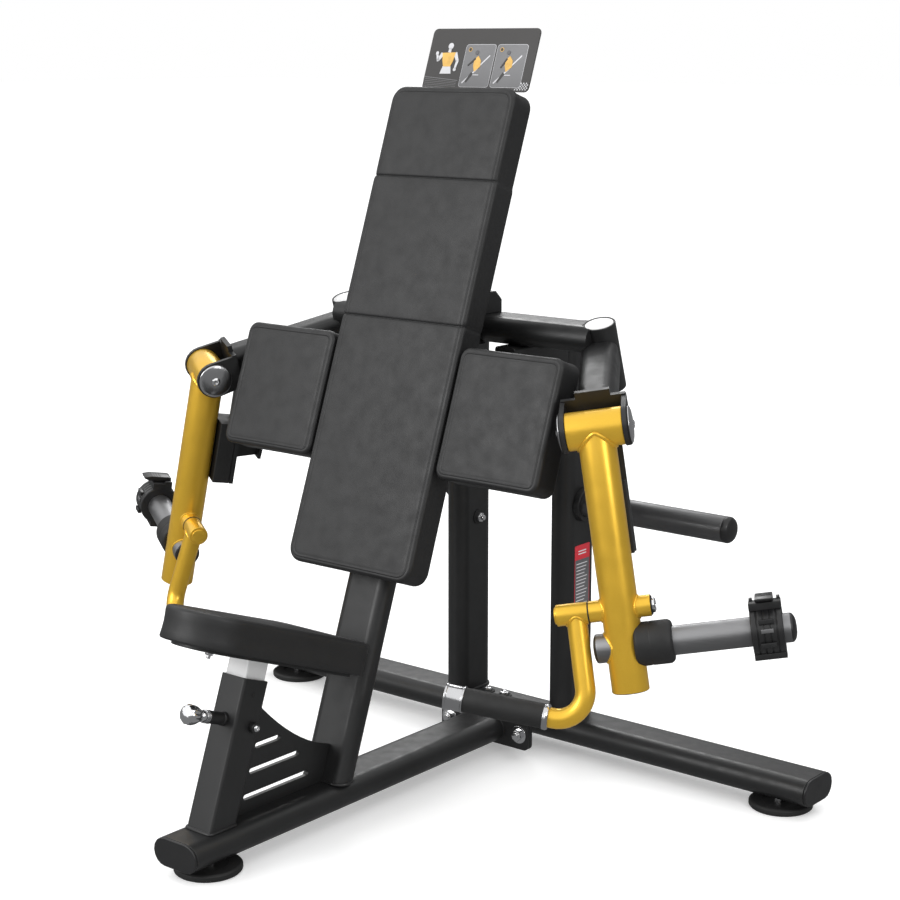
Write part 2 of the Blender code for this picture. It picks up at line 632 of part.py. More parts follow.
def build_lever(s):
    hub = s.turned(s.hub)
    down = Frame(s.hub, s.lever, s.axis, s.swing)
    arm = lathe("lever_arm_" + s.tag, [(0, LEVER_R), (LEVER_L, LEVER_R)], down, GOLD, 28)
    join(arm, lathe("tool", [(-HUB_HALF, HUB_R + 0.0007), (HUB_HALF, HUB_R + 0.0007)], hub, GOLD, 28))
    swivel = s.turned(down.at(SWIVEL_DOWN))
    join(arm, lathe("tool", [(-SWIVEL_HALF, SWIVEL_R), (SWIVEL_HALF, SWIVEL_R)], swivel, GOLD, 20))
    peg = s.turned(down.at(PEG_DOWN))
    cut(arm, lathe("tool", [(-0.1, PIN_R + RUN), (0.1, PIN_R + RUN)], hub, GOLD, 20))
    cut(arm, lathe("tool", [(-0.1, BOLT_R + RUN), (0.1, BOLT_R + RUN)], swivel, GOLD, 20))
    cut(arm, lathe("tool", [(-0.1, PEG_R + GAP), (0.1, PEG_R + GAP)], peg, GOLD, 28))

    sleeve = [(-PEG_IN - 0.004, PEG_R - 0.006), (-PEG_IN, PEG_R), (PEG_OUT, PEG_R)]
    sleeve += [(PEG_OUT + 0.004, PEG_R - 0.003), (PEG_OUT + PEG_CAP_H, PEG_R - 0.012)]
    lathe("weight_peg_" + s.tag, sleeve, peg, STEEL)
    buffer = [(BUMPER_SEAT, BUMPER_R - 0.004), (BUMPER_SEAT + 0.004, BUMPER_R)]
    buffer += [(BUMPER_END - 0.005, BUMPER_R), (BUMPER_END, BUMPER_R - 0.005)]
    bumper = bored("bumper_" + s.tag, buffer, PEG_R + GAP, peg, RUBBER)
    cut(bumper, lathe("tool", [(0, LEVER_R + GAP), (LEVER_L + 0.1, LEVER_R + GAP)], down, RUBBER))
    build_collar(s, peg)
    build_handle(s, swivel)


def build_collar(s, peg):
    """Clamp ring on the sleeve with a flip latch on its upper flat."""
    ring = peg.moved(COLLAR_MID)
    top = -s.lever
    f = Frame(ring.o, s.axis, top, s.swing)
    profile = [(-COLLAR_HALF, COLLAR_R - 0.003), (-COLLAR_HALF + 0.003, COLLAR_R)]
    profile += [(COLLAR_HALF - 0.003, COLLAR_R), (COLLAR_HALF, COLLAR_R - 0.003)]
    body = bored("collar_" + s.tag, profile, PEG_R + RUN, f, PLASTIC, 28)
    block = box(0.014, 0.040)
    join(body, slab("tool", block, f.moved(0, COLLAR_R + 0.002, 0), -COLLAR_HALF, COLLAR_HALF, PLASTIC))
    keel = box(0.012, 0.030)
    join(body, slab("tool", keel, f.moved(0, -COLLAR_R - 0.001, 0), -COLLAR_HALF, COLLAR_HALF, PLASTIC))
    latch_at = f.moved(0, COLLAR_R + 0.009 + GAP, -0.020)
    outline = [(0, 0), (LATCH_T, 0.004), (LATCH_T, LATCH_L - 0.012), (LATCH_T - 0.003, LATCH_L)]
    outline += [(LATCH_T - 0.006, LATCH_L), (0, LATCH_L - 0.010)]
    slab("collar_latch_" + s.tag, outline, latch_at, -LATCH_W / 2, LATCH_W / 2, PLASTIC)


def build_handle(s, swivel):
    """Swivelling handle: hub, leg, bend and the bar under the grip."""
    inner = Frame(swivel.o, -s.axis, s.leg, s.leg_side)
    start = SWIVEL_HALF + GAP
    end = start + HANDLE_HUB_L
    mid = (start + end) / 2 - 0.006
    grip_dir = (-s.axis * math.cos(GRIP_LIFT) - s.leg * math.sin(GRIP_LIFT)).normalized()
    top = inner.at(mid)
    corner = top + s.leg * HANDLE_DROP
    path = bend_path(top, corner, corner + grip_dir * HANDLE_END, HANDLE_BEND)
    bar = sweep("handle_" + s.tag, path, s.leg_side, HANDLE_R, GOLD, swivel.o)
    join(bar, lathe("tool", [(start, SWIVEL_R), (end, SWIVEL_R)], inner, GOLD, 20))
    cut(bar, lathe("tool", [(0, BOLT_R + RUN), (0.2, BOLT_R + RUN)], inner, GOLD, 20))

    b0 = SWIVEL_HALF + GAP
    bolt = [(-b0 - 0.008, 0.009), (-b0 - 0.006, 0.011), (-b0 - 0.001, 0.011)]
    bolt += [(-b0 - 0.0009, 0.0165), (-b0, 0.0165), (-b0 + 0.0001, BOLT_R)]
    bolt += [(end + GAP, BOLT_R), (end + GAP + 0.0001, 0.012), (end + 0.004, 0.011)]
    lathe("swivel_bolt_" + s.tag, bolt, inner, CHROME, 20)

    g = Frame(corner, grip_dir, s.leg_side, grip_dir.cross(s.leg_side))
    last = HANDLE_END + 0.004
    profile = [(GRIP_START, GRIP_R + 0.0015), (GRIP_START + 0.010, GRIP_R + 0.0015), (GRIP_START + 0.0101, GRIP_R)]
    profile += [(HANDLE_END - 0.018, GRIP_R), (HANDLE_END - 0.0179, GRIP_R + 0.0025)]
    profile += [(last - 0.002, GRIP_R + 0.0025), (last, GRIP_R + 0.0005)]
    grip = lathe("grip_" + s.tag, profile, g, PLASTIC, 28)
    cut(grip, lathe("tool", [(0.02, HANDLE_R + GAP), (HANDLE_END + GAP, HANDLE_R + GAP)], g, PLASTIC, 20))


def bend_path(a, corner, b, radius, n=7):
    """Points from a to b with the corner rounded, each with the direction of travel."""
    u = (corner - a).normalized()
    v = (b - corner).normalized()
    turn = math.acos(max(-1, min(1, u.dot(v))))
    back = radius * math.tan(turn / 2)
    centre_dir = (v - u).normalized()
    centre = corner + centre_dir * (radius / math.cos(turn / 2))
    points = [(a, u)]
    side = (corner - u * back - centre).normalized()
    for i in range(n + 1):
        t = turn * i / n
        arm = side * math.cos(t) + u * math.sin(t)
        points.append((centre + arm * radius, u * math.cos(t) - side * math.sin(t)))
    points.append((b, v))
    return points


def sweep(name, path, flat, radius, mat, origin, n=20):
    loops = []
    for point, heading in path:
        other = heading.cross(flat)
        loops.append([point + flat * p[0] + other * p[1] for p in circle(radius, n)])
    return rings(name, loops, mat, origin)


# ---- storage pegs -----------------------------------------------------------------------------
def build_storage():
    for side, tag in ((1, "right"), (-1, "left")):
        face = COLUMN_X + TUBE_T / 2 + GAP
        f = Frame((side * COLUMN_X, CROSS_Y, STORE_Z), X_AXIS * side, Y_AXIS, Z_AXIS)
        a = face - COLUMN_X
        out = STORE_END - COLUMN_X
        shoulder = a + STORE_RING_T
        profile = [(a, STORE_RING_R), (shoulder - 0.003, STORE_RING_R), (shoulder, STORE_RING_R - 0.003)]
        profile += [(shoulder, PEG_R), (out - 0.010, PEG_R), (out - 0.004, PEG_R - 0.004)]
        profile += [(out, PEG_R - 0.014)]
        lathe("storage_peg_" + tag, profile, f, STEEL)


build_base()
build_columns()
build_posts()
build_pads()
for sign in (1, -1):
    one = Side(sign)
    build_link(one)
    build_lever(one)
build_storage()
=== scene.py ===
"""Looks for the plate-loaded lever row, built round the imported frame. Metres, +Z up, seat side at -Y."""
import json
import math

import bmesh
import bpy
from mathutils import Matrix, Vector


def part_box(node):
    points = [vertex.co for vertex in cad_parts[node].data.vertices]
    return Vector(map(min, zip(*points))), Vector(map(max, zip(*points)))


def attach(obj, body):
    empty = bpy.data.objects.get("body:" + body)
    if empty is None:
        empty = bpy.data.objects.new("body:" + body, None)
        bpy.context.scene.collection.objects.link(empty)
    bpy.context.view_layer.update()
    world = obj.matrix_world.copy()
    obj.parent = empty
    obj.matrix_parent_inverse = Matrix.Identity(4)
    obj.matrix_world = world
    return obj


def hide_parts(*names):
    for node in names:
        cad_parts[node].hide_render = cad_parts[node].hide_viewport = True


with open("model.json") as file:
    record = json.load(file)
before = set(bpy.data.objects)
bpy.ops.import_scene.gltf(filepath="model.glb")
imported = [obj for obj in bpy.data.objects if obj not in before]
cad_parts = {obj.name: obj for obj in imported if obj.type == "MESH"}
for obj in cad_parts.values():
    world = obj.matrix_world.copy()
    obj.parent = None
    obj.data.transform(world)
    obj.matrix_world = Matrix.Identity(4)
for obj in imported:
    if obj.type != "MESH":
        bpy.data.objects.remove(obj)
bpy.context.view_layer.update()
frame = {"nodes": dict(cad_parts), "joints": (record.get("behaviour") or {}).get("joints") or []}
nodes = frame["nodes"]
joints = {j["name"]: j for j in frame["joints"]}

X, Y, Z = Vector((1, 0, 0)), Vector((0, 1, 0)), Vector((0, 0, 1))
RISE = Vector(joints["seat_slide"]["axis"]).normalized()      # up the rake of pads and posts
FACE = RISE.cross(X) * -1                                     # out of the pads' front faces
if FACE.y > 0:
    FACE = -FACE
TAU = 2 * math.pi


# ---- frames and measures ------------------------------------------------------------------------
class Axes:
    """Axis a along, b across, c up, from an origin."""

    def __init__(self, o, a, b, c=None):
        self.o, self.a, self.b = Vector(o), Vector(a).normalized(), Vector(b).normalized()
        self.c = self.a.cross(self.b) if c is None else Vector(c).normalized()

    def at(self, a=0.0, b=0.0, c=0.0):
        return self.o + self.a * a + self.b * b + self.c * c

    def moved(self, a=0.0, b=0.0, c=0.0):
        return Axes(self.at(a, b, c), self.a, self.b, self.c)


def span(node, axis, origin=(0, 0, 0)):
    """Lowest and highest distance of a CAD node along an axis, from an origin."""
    o = Vector(origin)
    d = [(v.co - o).dot(axis) for v in nodes[node].data.vertices]
    return min(d), max(d)


def middle(node, axis, origin=(0, 0, 0)):
    return sum(span(node, axis, origin)) / 2


# ---- materials ----------------------------------------------------------------------------------
def surface(name, colour, rough, metal=0.0, mottle=0.15, cloud=7.0, grain=900.0, bump=0.00006,
            rough_var=0.07, cells=False, stretch=None, specks=0.0, coat=0.0):
    """A finish with uneven colour, uneven gloss and a fine raised grain, all in metres on the object."""
    mat = bpy.data.materials.new(name)
    mat.use_nodes = True
    n, link = mat.node_tree.nodes, mat.node_tree.links.new
    shader = n["Principled BSDF"]
    shader.inputs["Metallic"].default_value = metal
    shader.inputs["Coat Weight"].default_value = coat
    shader.inputs["Coat Roughness"].default_value = 0.12
    place = n.new("ShaderNodeTexCoord").outputs["Object"]

    def noise(scale, detail, source=place):
        tex = n.new("ShaderNodeTexNoise")
        tex.inputs["Scale"].default_value = scale
        tex.inputs["Detail"].default_value = detail
        link(source, tex.inputs["Vector"])
        return tex.outputs["Fac"]

    def spread(value, low, high, to_low, to_high):
        m = n.new("ShaderNodeMapRange")
        for key, v in (("From Min", low), ("From Max", high), ("To Min", to_low), ("To Max", to_high)):
            m.inputs[key].default_value = v
        link(value, m.inputs["Value"])
        return m.outputs["Result"]

    def blend(fac, a, b):
        m = n.new("ShaderNodeMix")
        m.data_type = "RGBA"
        for socket, v in ((m.inputs[6], a), (m.inputs[7], b)):
            if isinstance(v, tuple):
                socket.default_value = (*v, 1)
            else:
                link(v, socket)
        link(fac, m.inputs[0])
        return m.outputs[2]

    dark = tuple(c * (1 - mottle) for c in colour)
    light = tuple(min(1.0, c * (1 + mottle)) for c in colour)
    clouds = noise(cloud, 5)
    shade = blend(spread(clouds, 0.32, 0.68, 0, 1), dark, light)
    if specks:
        dots = spread(noise(grain * 0.8, 2), 0.60, 0.72, 0, specks)
        shade = blend(dots, shade, tuple(min(1.0, c * 2.2 + 0.02) for c in colour))
    link(shade, shader.inputs["Base Color"])
    run = place
    if stretch:
        turn = n.new("ShaderNodeMapping")
        turn.inputs["Scale"].default_value = stretch
        link(place, turn.inputs["Vector"])
        run = turn.outputs["Vector"]
    wipe = noise(38.0, 4, run)
    link(spread(wipe, 0.3, 0.7, rough - rough_var, rough + rough_var), shader.inputs["Roughness"])
    if cells:
        tex = n.new("ShaderNodeTexVoronoi")
        tex.feature = "SMOOTH_F1"
        tex.inputs["Scale"].default_value = grain
        link(place, tex.inputs["Vector"])
        height = tex.outputs["Distance"]
    else:
        height = noise(grain, 3, run)
    raised = n.new("ShaderNodeBump")
    raised.inputs["Strength"].default_value = 1.0
    raised.inputs["Distance"].default_value = bump
    link(height, raised.inputs["Height"])
    link(raised.outputs["Normal"], shader.inputs["Normal"])
    return mat


BLACK = surface("black_powder_coat", (0.0112, 0.0114, 0.0116), 0.40, bump=0.00010, grain=750, specks=0.10)
VINYL = surface("black_vinyl", (0.0105, 0.0105, 0.0108), 0.50, cells=True, grain=820, bump=0.00016,
                mottle=0.10)
GOLD = surface("gold_coat", (0.79, 0.475, 0.045), 0.34, metal=0.70, grain=2200, bump=0.00002, mottle=0.06,
               specks=0.25, rough_var=0.05, coat=0.15)
STEEL = surface("satin_steel", (0.28, 0.28, 0.285), 0.44, metal=1.0, grain=300, bump=0.00003, mottle=0.08,
                stretch=(1, 1, 6))
# darker copy of the satin steel for the storage sleeves: painted shade for their darker reflections
STEEL_SHADED_COPY = surface("steel_painted_shade", (0.13, 0.13, 0.132), 0.42, metal=0.85, grain=400, bump=0.00003,
                     mottle=0.12)
BRIGHT = surface("bright_steel", (0.62, 0.62, 0.63), 0.20, metal=1.0, grain=500, bump=0.00001, mottle=0.06)
CHROME = surface("chrome", (0.80, 0.80, 0.81), 0.09, metal=1.0, bump=0.000004, mottle=0.04, rough_var=0.04)
ALLOY = surface("bright_alloy", (0.70, 0.70, 0.70), 0.42, metal=0.35, grain=500, bump=0.00002, mottle=0.04)
RUBBER = surface("black_rubber", (0.0095, 0.0095, 0.0095), 0.62, grain=1100, bump=0.00008, mottle=0.2)
GRIPPY = surface("grip_rubber", (0.010, 0.010, 0.010), 0.62, grain=700, cells=True, bump=0.00012)
PLASTIC = surface("black_plastic", (0.0105, 0.0105, 0.0110), 0.36, grain=1300, bump=0.00003, mottle=0.15)
SIGN = surface("sign_sheet", (0.030, 0.028, 0.027), 0.42, grain=1500, bump=0.00002, mottle=0.10, coat=0.2)
PANEL = surface("print_panel", (0.17, 0.17, 0.175), 0.42, grain=900, bump=0.00002, mottle=0.12)
PALE = surface("print_pale", (0.62, 0.62, 0.64), 0.42, grain=900, bump=0.00001, mottle=0.08)
AMBER = surface("print_amber", (0.72, 0.43, 0.10), 0.42, grain=900, bump=0.00001, mottle=0.15, cloud=60)
RED = surface("print_red", (0.55, 0.015, 0.03), 0.35, grain=900, bump=0.00001, mottle=0.08)
GREY = surface("print_grey", (0.10, 0.10, 0.105), 0.42, grain=900, bump=0.00001, mottle=0.12)


# ---- building blocks ----------------------------------------------------------------------------
def circle(r, n):
    return [(r * math.cos(TAU * i / n), r * math.sin(TAU * i / n)) for i in range(n)]


def rect(w, h, r=0.0, n=5):
    """Rectangle about the origin, with rounded corners."""
    if r <= 0:
        return [(w / 2, -h / 2), (w / 2, h / 2), (-w / 2, h / 2), (-w / 2, -h / 2)]
    out = []
    for k, (sx, sy) in enumerate(((1, 1), (-1, 1), (-1, -1), (1, -1))):
        for i in range(n + 1):
            t = math.pi / 2 * (k + i / n)
            out.append((sx * (w / 2 - r) + r * math.cos(t), sy * (h / 2 - r) + r * math.sin(t)))
    return out


def soften(profile, r):
    """Rounds the corners of an (along, radius) profile, the two end corners included."""
    pts = [Vector((profile[0][0], 0))] + [Vector(p) for p in profile] + [Vector((profile[-1][0], 0))]
    out = []
    for before, p, after in zip(pts, pts[1:], pts[2:]):
        u, v = p - before, after - p
        d = min(r, 0.45 * u.length, 0.45 * v.length)
        if d < 1e-6 or u.normalized().dot(v.normalized()) > 0.995:
            out.append(p)
            continue
        low, high = p - u.normalized() * d, p + v.normalized() * d
        out += [low * (1 - t) ** 2 + p * 2 * t * (1 - t) + high * t * t for t in (0, 0.33, 0.67, 1)]
    return out


class Piece:
    """One visible piece made of closed shells."""

    def __init__(self, name, body, slot, *mats):
        self.name, self.body, self.slot, self.mats = name, body, slot, mats
        self.bm = bmesh.new()

    def skin(self, loops, m=0):
        rows = [[self.bm.verts.new(p) for p in loop] for loop in loops]
        faces = [self.bm.faces.new(rows[0][::-1]), self.bm.faces.new(rows[-1])]
        count = len(rows[0])
        for low, high in zip(rows, rows[1:]):
            for i in range(count):
                j = (i + 1) % count
                faces.append(self.bm.faces.new((low[i], low[j], high[j], high[i])))
        for face in faces:
            face.material_index = m
        return faces

    def turn(self, f, profile, m=0, n=56, soft=0.0012):
        self.skin([[f.at(p[0], *q) for q in circle(p[1], n)] for p in soften(profile, soft)], m)

    def prism(self, f, outline, a0, a1, m=0, bevel=0.0):
        faces = self.skin([[f.at(a, *p) for p in outline] for a in (a0, a1)], m)
        if bevel:
            bmesh.ops.recalc_face_normals(self.bm, faces=faces)
            edges = {e for face in faces for e in face.edges if e.calc_face_angle(0) > 0.6}
            bmesh.ops.bevel(self.bm, geom=list(edges), offset=bevel, segments=2, affect="EDGES",
                            profile=0.6, clamp_overlap=True)

    def tube(self, path, r, m=0, n=14, closed=False, hint=Z, ripple=0.0):
        """A round bar along a path, or a bead round a closed one."""
        loops = []
        count = len(path)
        for i, p in enumerate(path):
            ahead = path[(i + 1) % count] if closed or i + 1 < count else p
            back = path[i - 1] if closed or i else p
            way = (ahead - back).normalized()
            b = way.cross(hint)
            b = b.normalized() if b.length > 0.05 else way.orthogonal().normalized()
            c = way.cross(b)
            size = r * (1 + ripple * math.sin(i * 1.9))
            loops.append([p + b * q[0] + c * q[1] for q in circle(size, n)])
        if not closed:
            return self.skin(loops, m)
        rows = [[self.bm.verts.new(p) for p in loop] for loop in loops]
        for k in range(count):
            low, high = rows[k], rows[(k + 1) % count]
            for i in range(n):
                j = (i + 1) % n
                self.bm.faces.new((low[i], low[j], high[j], high[i])).material_index = m

    def bolt(self, at, normal, r, m=0, washer=None, stud=0.0, socket=False):
        """A hex or socket head on its washer, facing along normal."""
        f = Axes(at, normal, Vector(normal).orthogonal())
        base = 0.0
        if washer is not None:
            base = 0.0018
            self.turn(f, [(0, r * 1.55), (base, r * 1.55)], washer, 32, 0.0005)
        if socket:
            top = base + r * 0.75
            self.turn(f, [(base, r), (base + r * 0.35, r), (top, r * 0.62), (top, r * 0.40),
                          (top - r * 0.35, r * 0.36)], m, 32, 0.0006)
        else:
            hexagon = [(r * 1.06 * math.cos(TAU * i / 6),
                        r * 1.06 * math.sin(TAU * i / 6)) for i in range(6)]
            self.prism(f, hexagon, base, base + r * 0.72, m, r * 0.09)
            self.turn(f, [(base + r * 0.6, r * 0.86), (base + r * 0.80, r * 0.80)], m, 32, 0.0008)
        if stud:
            self.turn(f, [(base, r * 0.52), (base + r * 0.75 + stud, r * 0.52)], m, 24, 0.0010)

    def done(self, *replaced, angle=38):
        bmesh.ops.recalc_face_normals(self.bm, faces=self.bm.faces[:])
        mesh = bpy.data.meshes.new(self.name)
        self.bm.to_mesh(mesh)
        self.bm.free()
        for mat in self.mats:
            mesh.materials.append(mat)
        mesh.shade_smooth()
        mesh.set_sharp_from_angle(angle=math.radians(angle))
        obj = bpy.data.objects.new(self.name, mesh)
        bpy.context.scene.collection.objects.link(obj)
        if replaced:
            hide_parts(*replaced)
        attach(obj, self.body)
        return obj


def dress(node, mat, bevel=0.0012):
    """A kept CAD solid: its finish, welded corners and a small rounding on its edges."""
    obj = nodes[node]
    obj.data.materials.clear()
    obj.data.materials.append(mat)
    custom = obj.data.attributes.get("custom_normal")
    if custom:
        obj.data.attributes.remove(custom)
    obj.data.shade_smooth()
    weld = obj.modifiers.new("weld", "WELD")
    weld.merge_threshold = 0.00002
    flat = obj.modifiers.new("flat", "DECIMATE")
    flat.decimate_type = "DISSOLVE"
    flat.angle_limit = math.radians(0.5)
    if bevel:
        edge = obj.modifiers.new("edge", "BEVEL")
        edge.width = bevel
        edge.segments = 2
        edge.limit_method = "ANGLE"
        edge.angle_limit = math.radians(35)
        edge.use_clamp_overlap = True
    shade = obj.modifiers.new("shade", "WEIGHTED_NORMAL")
    shade.mode = "FACE_AREA"
    shade.weight = 60


# ---- kept CAD nodes -----------------------------------------------------------------------------
for node in ("base_beam", "cross_beam", "top_cross_tube", "pad_post", "seat_post", "gusset_plate",
             "pad_carrier", "post_head_bracket", "seat_plate", "column_left", "column_right",
             "head_arm_left", "head_arm_right", "link_left", "link_right"):
    dress(node, BLACK)
for node in ("base_end_cap", "cross_end_cap_left", "cross_end_cap_right"):
    dress(node, PLASTIC, 0.0018)
for node in ("stop_block_left", "stop_block_right"):
    dress(node, RUBBER, 0.0020)
dress("seat_slider", ALLOY, 0.0008)
dress("placard", SIGN, 0.0006)


# ---- padded pieces ------------------------------------------------------------------------------
EDGE = 0.008            # rounding of the front edge
BACK_EDGE = 0.004       # rounding of the rear edge
SET_BACK = 0.0004       # front face below the full thickness
CROWN = 0.0014          # rise of the chest and elbow pads from the edge to the middle
SEAT_CROWN = 0.0016
PIPE_AT = 0.0105        # piping line in from the edge
EDGE_STEPS = (0, 0.0005, 0.0015, 0.003, 0.005, 0.007, 0.0082, 0.0090, 0.0098, 0.0105, 0.0112, 0.0120,
              0.0130, 0.0150, 0.019, 0.026, 0.036)
SEAM_STEPS = (-0.012, -0.008, -0.0050, -0.0030, -0.0018, -0.0008, 0, 0.0008, 0.0018, 0.0030, 0.0050,
              0.008, 0.012)
PULL = 0.0012           # how far the sides pull in between the corners


def bell(x, width):
    return math.exp(-(x / width) ** 2)


def roll(e, r):
    """Drop of a face near its rounded edge, e in from the edge."""
    return r - math.sqrt(max(0.0, r * r - (r - e) ** 2)) if e < r else 0.0


def front_drop(e):
    """Edge rounding with a corded seam: a bead between two sewn dips."""
    cord = -0.0006 * bell(e - PIPE_AT, 0.0010)
    dips = 0.0005 * (bell(e - PIPE_AT + 0.0024, 0.0010) + bell(e - PIPE_AT - 0.0024, 0.0012))
    return roll(e, EDGE) + cord + dips + SET_BACK


def grid_lines(half, seams=()):
    lines = {round(s * (half - e), 6) for e in EDGE_STEPS for s in (1, -1)}
    inner = half - EDGE_STEPS[-1]
    count = max(2, round(2 * inner / 0.013))
    lines |= {-inner + 2 * inner * i / count for i in range(1, count)}
    for seam in seams:
        lines = {v for v in lines if abs(v - seam) > 0.014} | {seam + d for d in SEAM_STEPS}
    return sorted(lines)


def close_pad(name, body, node, bm):
    bmesh.ops.recalc_face_normals(bm, faces=bm.faces[:])
    mesh = bpy.data.meshes.new(name)
    bm.to_mesh(mesh)
    bm.free()
    mesh.materials.append(VINYL)
    mesh.shade_smooth()
    obj = bpy.data.objects.new(name, mesh)
    bpy.context.scene.collection.objects.link(obj)
    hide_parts(node)
    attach(obj, body)
    return obj


def rect_pad(name, node, corner, crown, seams_up=(), waist=0.0):
    """A sewn pad on the raked plane. seams_up are heights of cross seams above the lower edge."""
    (x0, x1), (y0, y1), (z0, z1) = span(node, X), span(node, RISE), span(node, FACE)
    hw, hh, thick = (x1 - x0) / 2, (y1 - y0) / 2, z1 - z0
    f = Axes(X * (x0 + x1) / 2 + RISE * (y0 + y1) / 2 + FACE * z0, FACE, X, RISE)
    seams = [s - hh for s in seams_up]
    xs, ys = grid_lines(hw), grid_lines(hh, seams)
    marks = [-hh] + sorted(seams) + [hh]

    def place(x, y):
        """Plan position with round corners and sides that pull in."""
        dx, dy = abs(x) - (hw - corner), abs(y) - (hh - corner)
        px, py = x, y
        if dx > 0 and dy > 0:
            k = max(dx, dy) / math.hypot(dx, dy)
            px = math.copysign(hw - corner + dx * k, x)
            py = math.copysign(hh - corner + dy * k, y)
        pinch = sum(0.0016 * bell(y - s, 0.0045) for s in seams)
        if seams and y > seams[-1]:
            pinch += waist * min(1.0, (y - seams[-1]) / 0.006)
        px -= math.copysign(1, x) * abs(x / hw) ** 3 * (PULL * (1 - (y / hh) ** 4) + pinch)
        py -= math.copysign(1, y) * abs(y / hh) ** 6 * PULL * 0.7 * (1 - (x / hw) ** 2)
        return px, py

    def height(x, y):
        e = min(hw - abs(x), hh - abs(y))
        low, high = next((a, b) for a, b in zip(marks, marks[1:]) if y <= b + 0.0001)
        q = (2 * y - low - high) / (high - low)
        swell = crown * (1 - (1 - abs(x / hw) ** 2.4) * (1 - abs(q) ** 4 * 0.45))
        sewn = sum(0.0022 * bell(y - s, 0.0016) + 0.0008 * bell(y - s, 0.006) for s in seams)
        return thick - front_drop(e) - swell - sewn

    bm = bmesh.new()
    front = [[bm.verts.new(f.at(height(x, y), *place(x, y))) for x in xs] for y in ys]
    back = [[bm.verts.new(f.at(roll(min(hw - abs(x), hh - abs(y)), BACK_EDGE), *place(x, y)))
             for x in xs] for y in ys]
    for grid in (front, back):
        for j in range(len(ys) - 1):
            for i in range(len(xs) - 1):
                bm.faces.new((grid[j][i], grid[j][i + 1], grid[j + 1][i + 1], grid[j + 1][i]))
    nx, ny = len(xs) - 1, len(ys) - 1
    rim = [(0, i) for i in range(nx)] + [(j, nx) for j in range(ny)]
    rim += [(ny, i) for i in range(nx, 0, -1)] + [(j, 0) for j in range(ny, 0, -1)]
    rows = [[front[j][i] for j, i in rim]]
    for step in (0.15, 0.4, 0.65, 0.9):
        row = []
        for j, i in rim:
            a, b = front[j][i].co, back[j][i].co
            out = (a - f.at(a=(a - f.o).dot(f.a))).normalized()
            row.append(bm.verts.new(a.lerp(b, step) - out * 0.0012 * math.sin(math.pi * step)))
        rows.append(row)
    rows.append([back[j][i] for j, i in rim])
    for up, down in zip(rows, rows[1:]):
        for k in range(len(rim)):
            m = (k + 1) % len(rim)
            bm.faces.new((up[k], up[m], down[m], down[k]))
    return close_pad(name, "frame", node, bm)


PAD_SEAMS = (0.472, 0.742)      # cross seams above the chest pad's lower edge
rect_pad("chest_cushion", "main_pad", 0.030, CROWN, PAD_SEAMS, 0.0018)
for tag in ("left", "right"):
    rect_pad("elbow_cushion_" + tag, "elbow_pad_" + tag, 0.022, CROWN)


SEAT_NOSE = 0.082       # radius of the seat's rounded front
SEAT_CORNER = 0.030


def seat_cushion():
    x1 = span("seat_pad", X)[1]
    (c0, c1), (a0, a1) = span("seat_pad", FACE), span("seat_pad", RISE)
    thick = a1 - a0
    circles = [(0.0, c1 - SEAT_NOSE, SEAT_NOSE)]
    circles += [(s * (x1 - SEAT_CORNER), c0 + SEAT_CORNER, SEAT_CORNER) for s in (1, -1)]
    centre = Vector((0, (c0 + c1) / 2))

    def outline(inset):
        """Hull of the circles, with the straight sides divided and pulled in a little."""
        raw = []
        for i in range(120):
            t = TAU * (i + 0.5) / 120
            nx, ny = math.cos(t), math.sin(t)
            k = max(range(3), key=lambda q: circles[q][0] * nx + circles[q][1] * ny + circles[q][2])
            x, y, r = circles[k]
            raw.append((k, Vector((x + (r - inset) * nx, y + (r - inset) * ny)), Vector((nx, ny))))
        out = []
        for (k, p, n), (k2, p2, n2) in zip(raw, raw[1:] + raw[:1]):
            out.append(p)
            if k != k2:
                for j in range(1, 22):
                    t = j / 22
                    out.append(p.lerp(p2, t) - (n + n2).normalized() * PULL * 4 * t * (1 - t))
        return out

    f = Axes(RISE * a0, RISE, X, FACE)
    loops = []
    for s in (0.25, 0.5, 0.75, 0.95):
        loops.append([f.at(0, *(centre + (p - centre) * s)) for p in outline(BACK_EDGE)])
    for e in (BACK_EDGE, 0.0022, 0.0008, 0):
        loops.append([f.at(roll(e, BACK_EDGE), *p) for p in outline(e)])
    top = thick - front_drop(0) - SEAT_CROWN
    for t in (0.25, 0.5, 0.75):
        belly = 0.0015 * math.sin(math.pi * t)
        loops.append([f.at(BACK_EDGE + (top - BACK_EDGE) * t, *p) for p in outline(belly)])
    for e in EDGE_STEPS[:-3]:
        loops.append([f.at(thick - front_drop(e) - SEAT_CROWN, *p) for p in outline(e)])
    inner = outline(EDGE_STEPS[-4])
    for s in (0.95, 0.9, 0.82, 0.72, 0.6, 0.46, 0.3, 0.14, 0.02):
        swell = SEAT_CROWN * s ** 2.2
        loops.append([f.at(thick - SET_BACK - swell, *(centre + (p - centre) * s)) for p in inner])
    bm = bmesh.new()
    rows = [[bm.verts.new(p) for p in loop] for loop in loops]
    count = len(rows[0])
    for low, high in zip(rows, rows[1:]):
        for i in range(count):
            j = (i + 1) % count
            bm.faces.new((low[i], low[j], high[j], high[i]))
    for row, at in ((rows[0], f.at(0, *centre)), (rows[-1], f.at(thick - SET_BACK, *centre))):
        hub = bm.verts.new(at)
        for i in range(count):
            bm.faces.new((row[i], row[(i + 1) % count], hub))
    close_pad("seat_cushion", "seat", "seat_pad", bm)


seat_cushion()


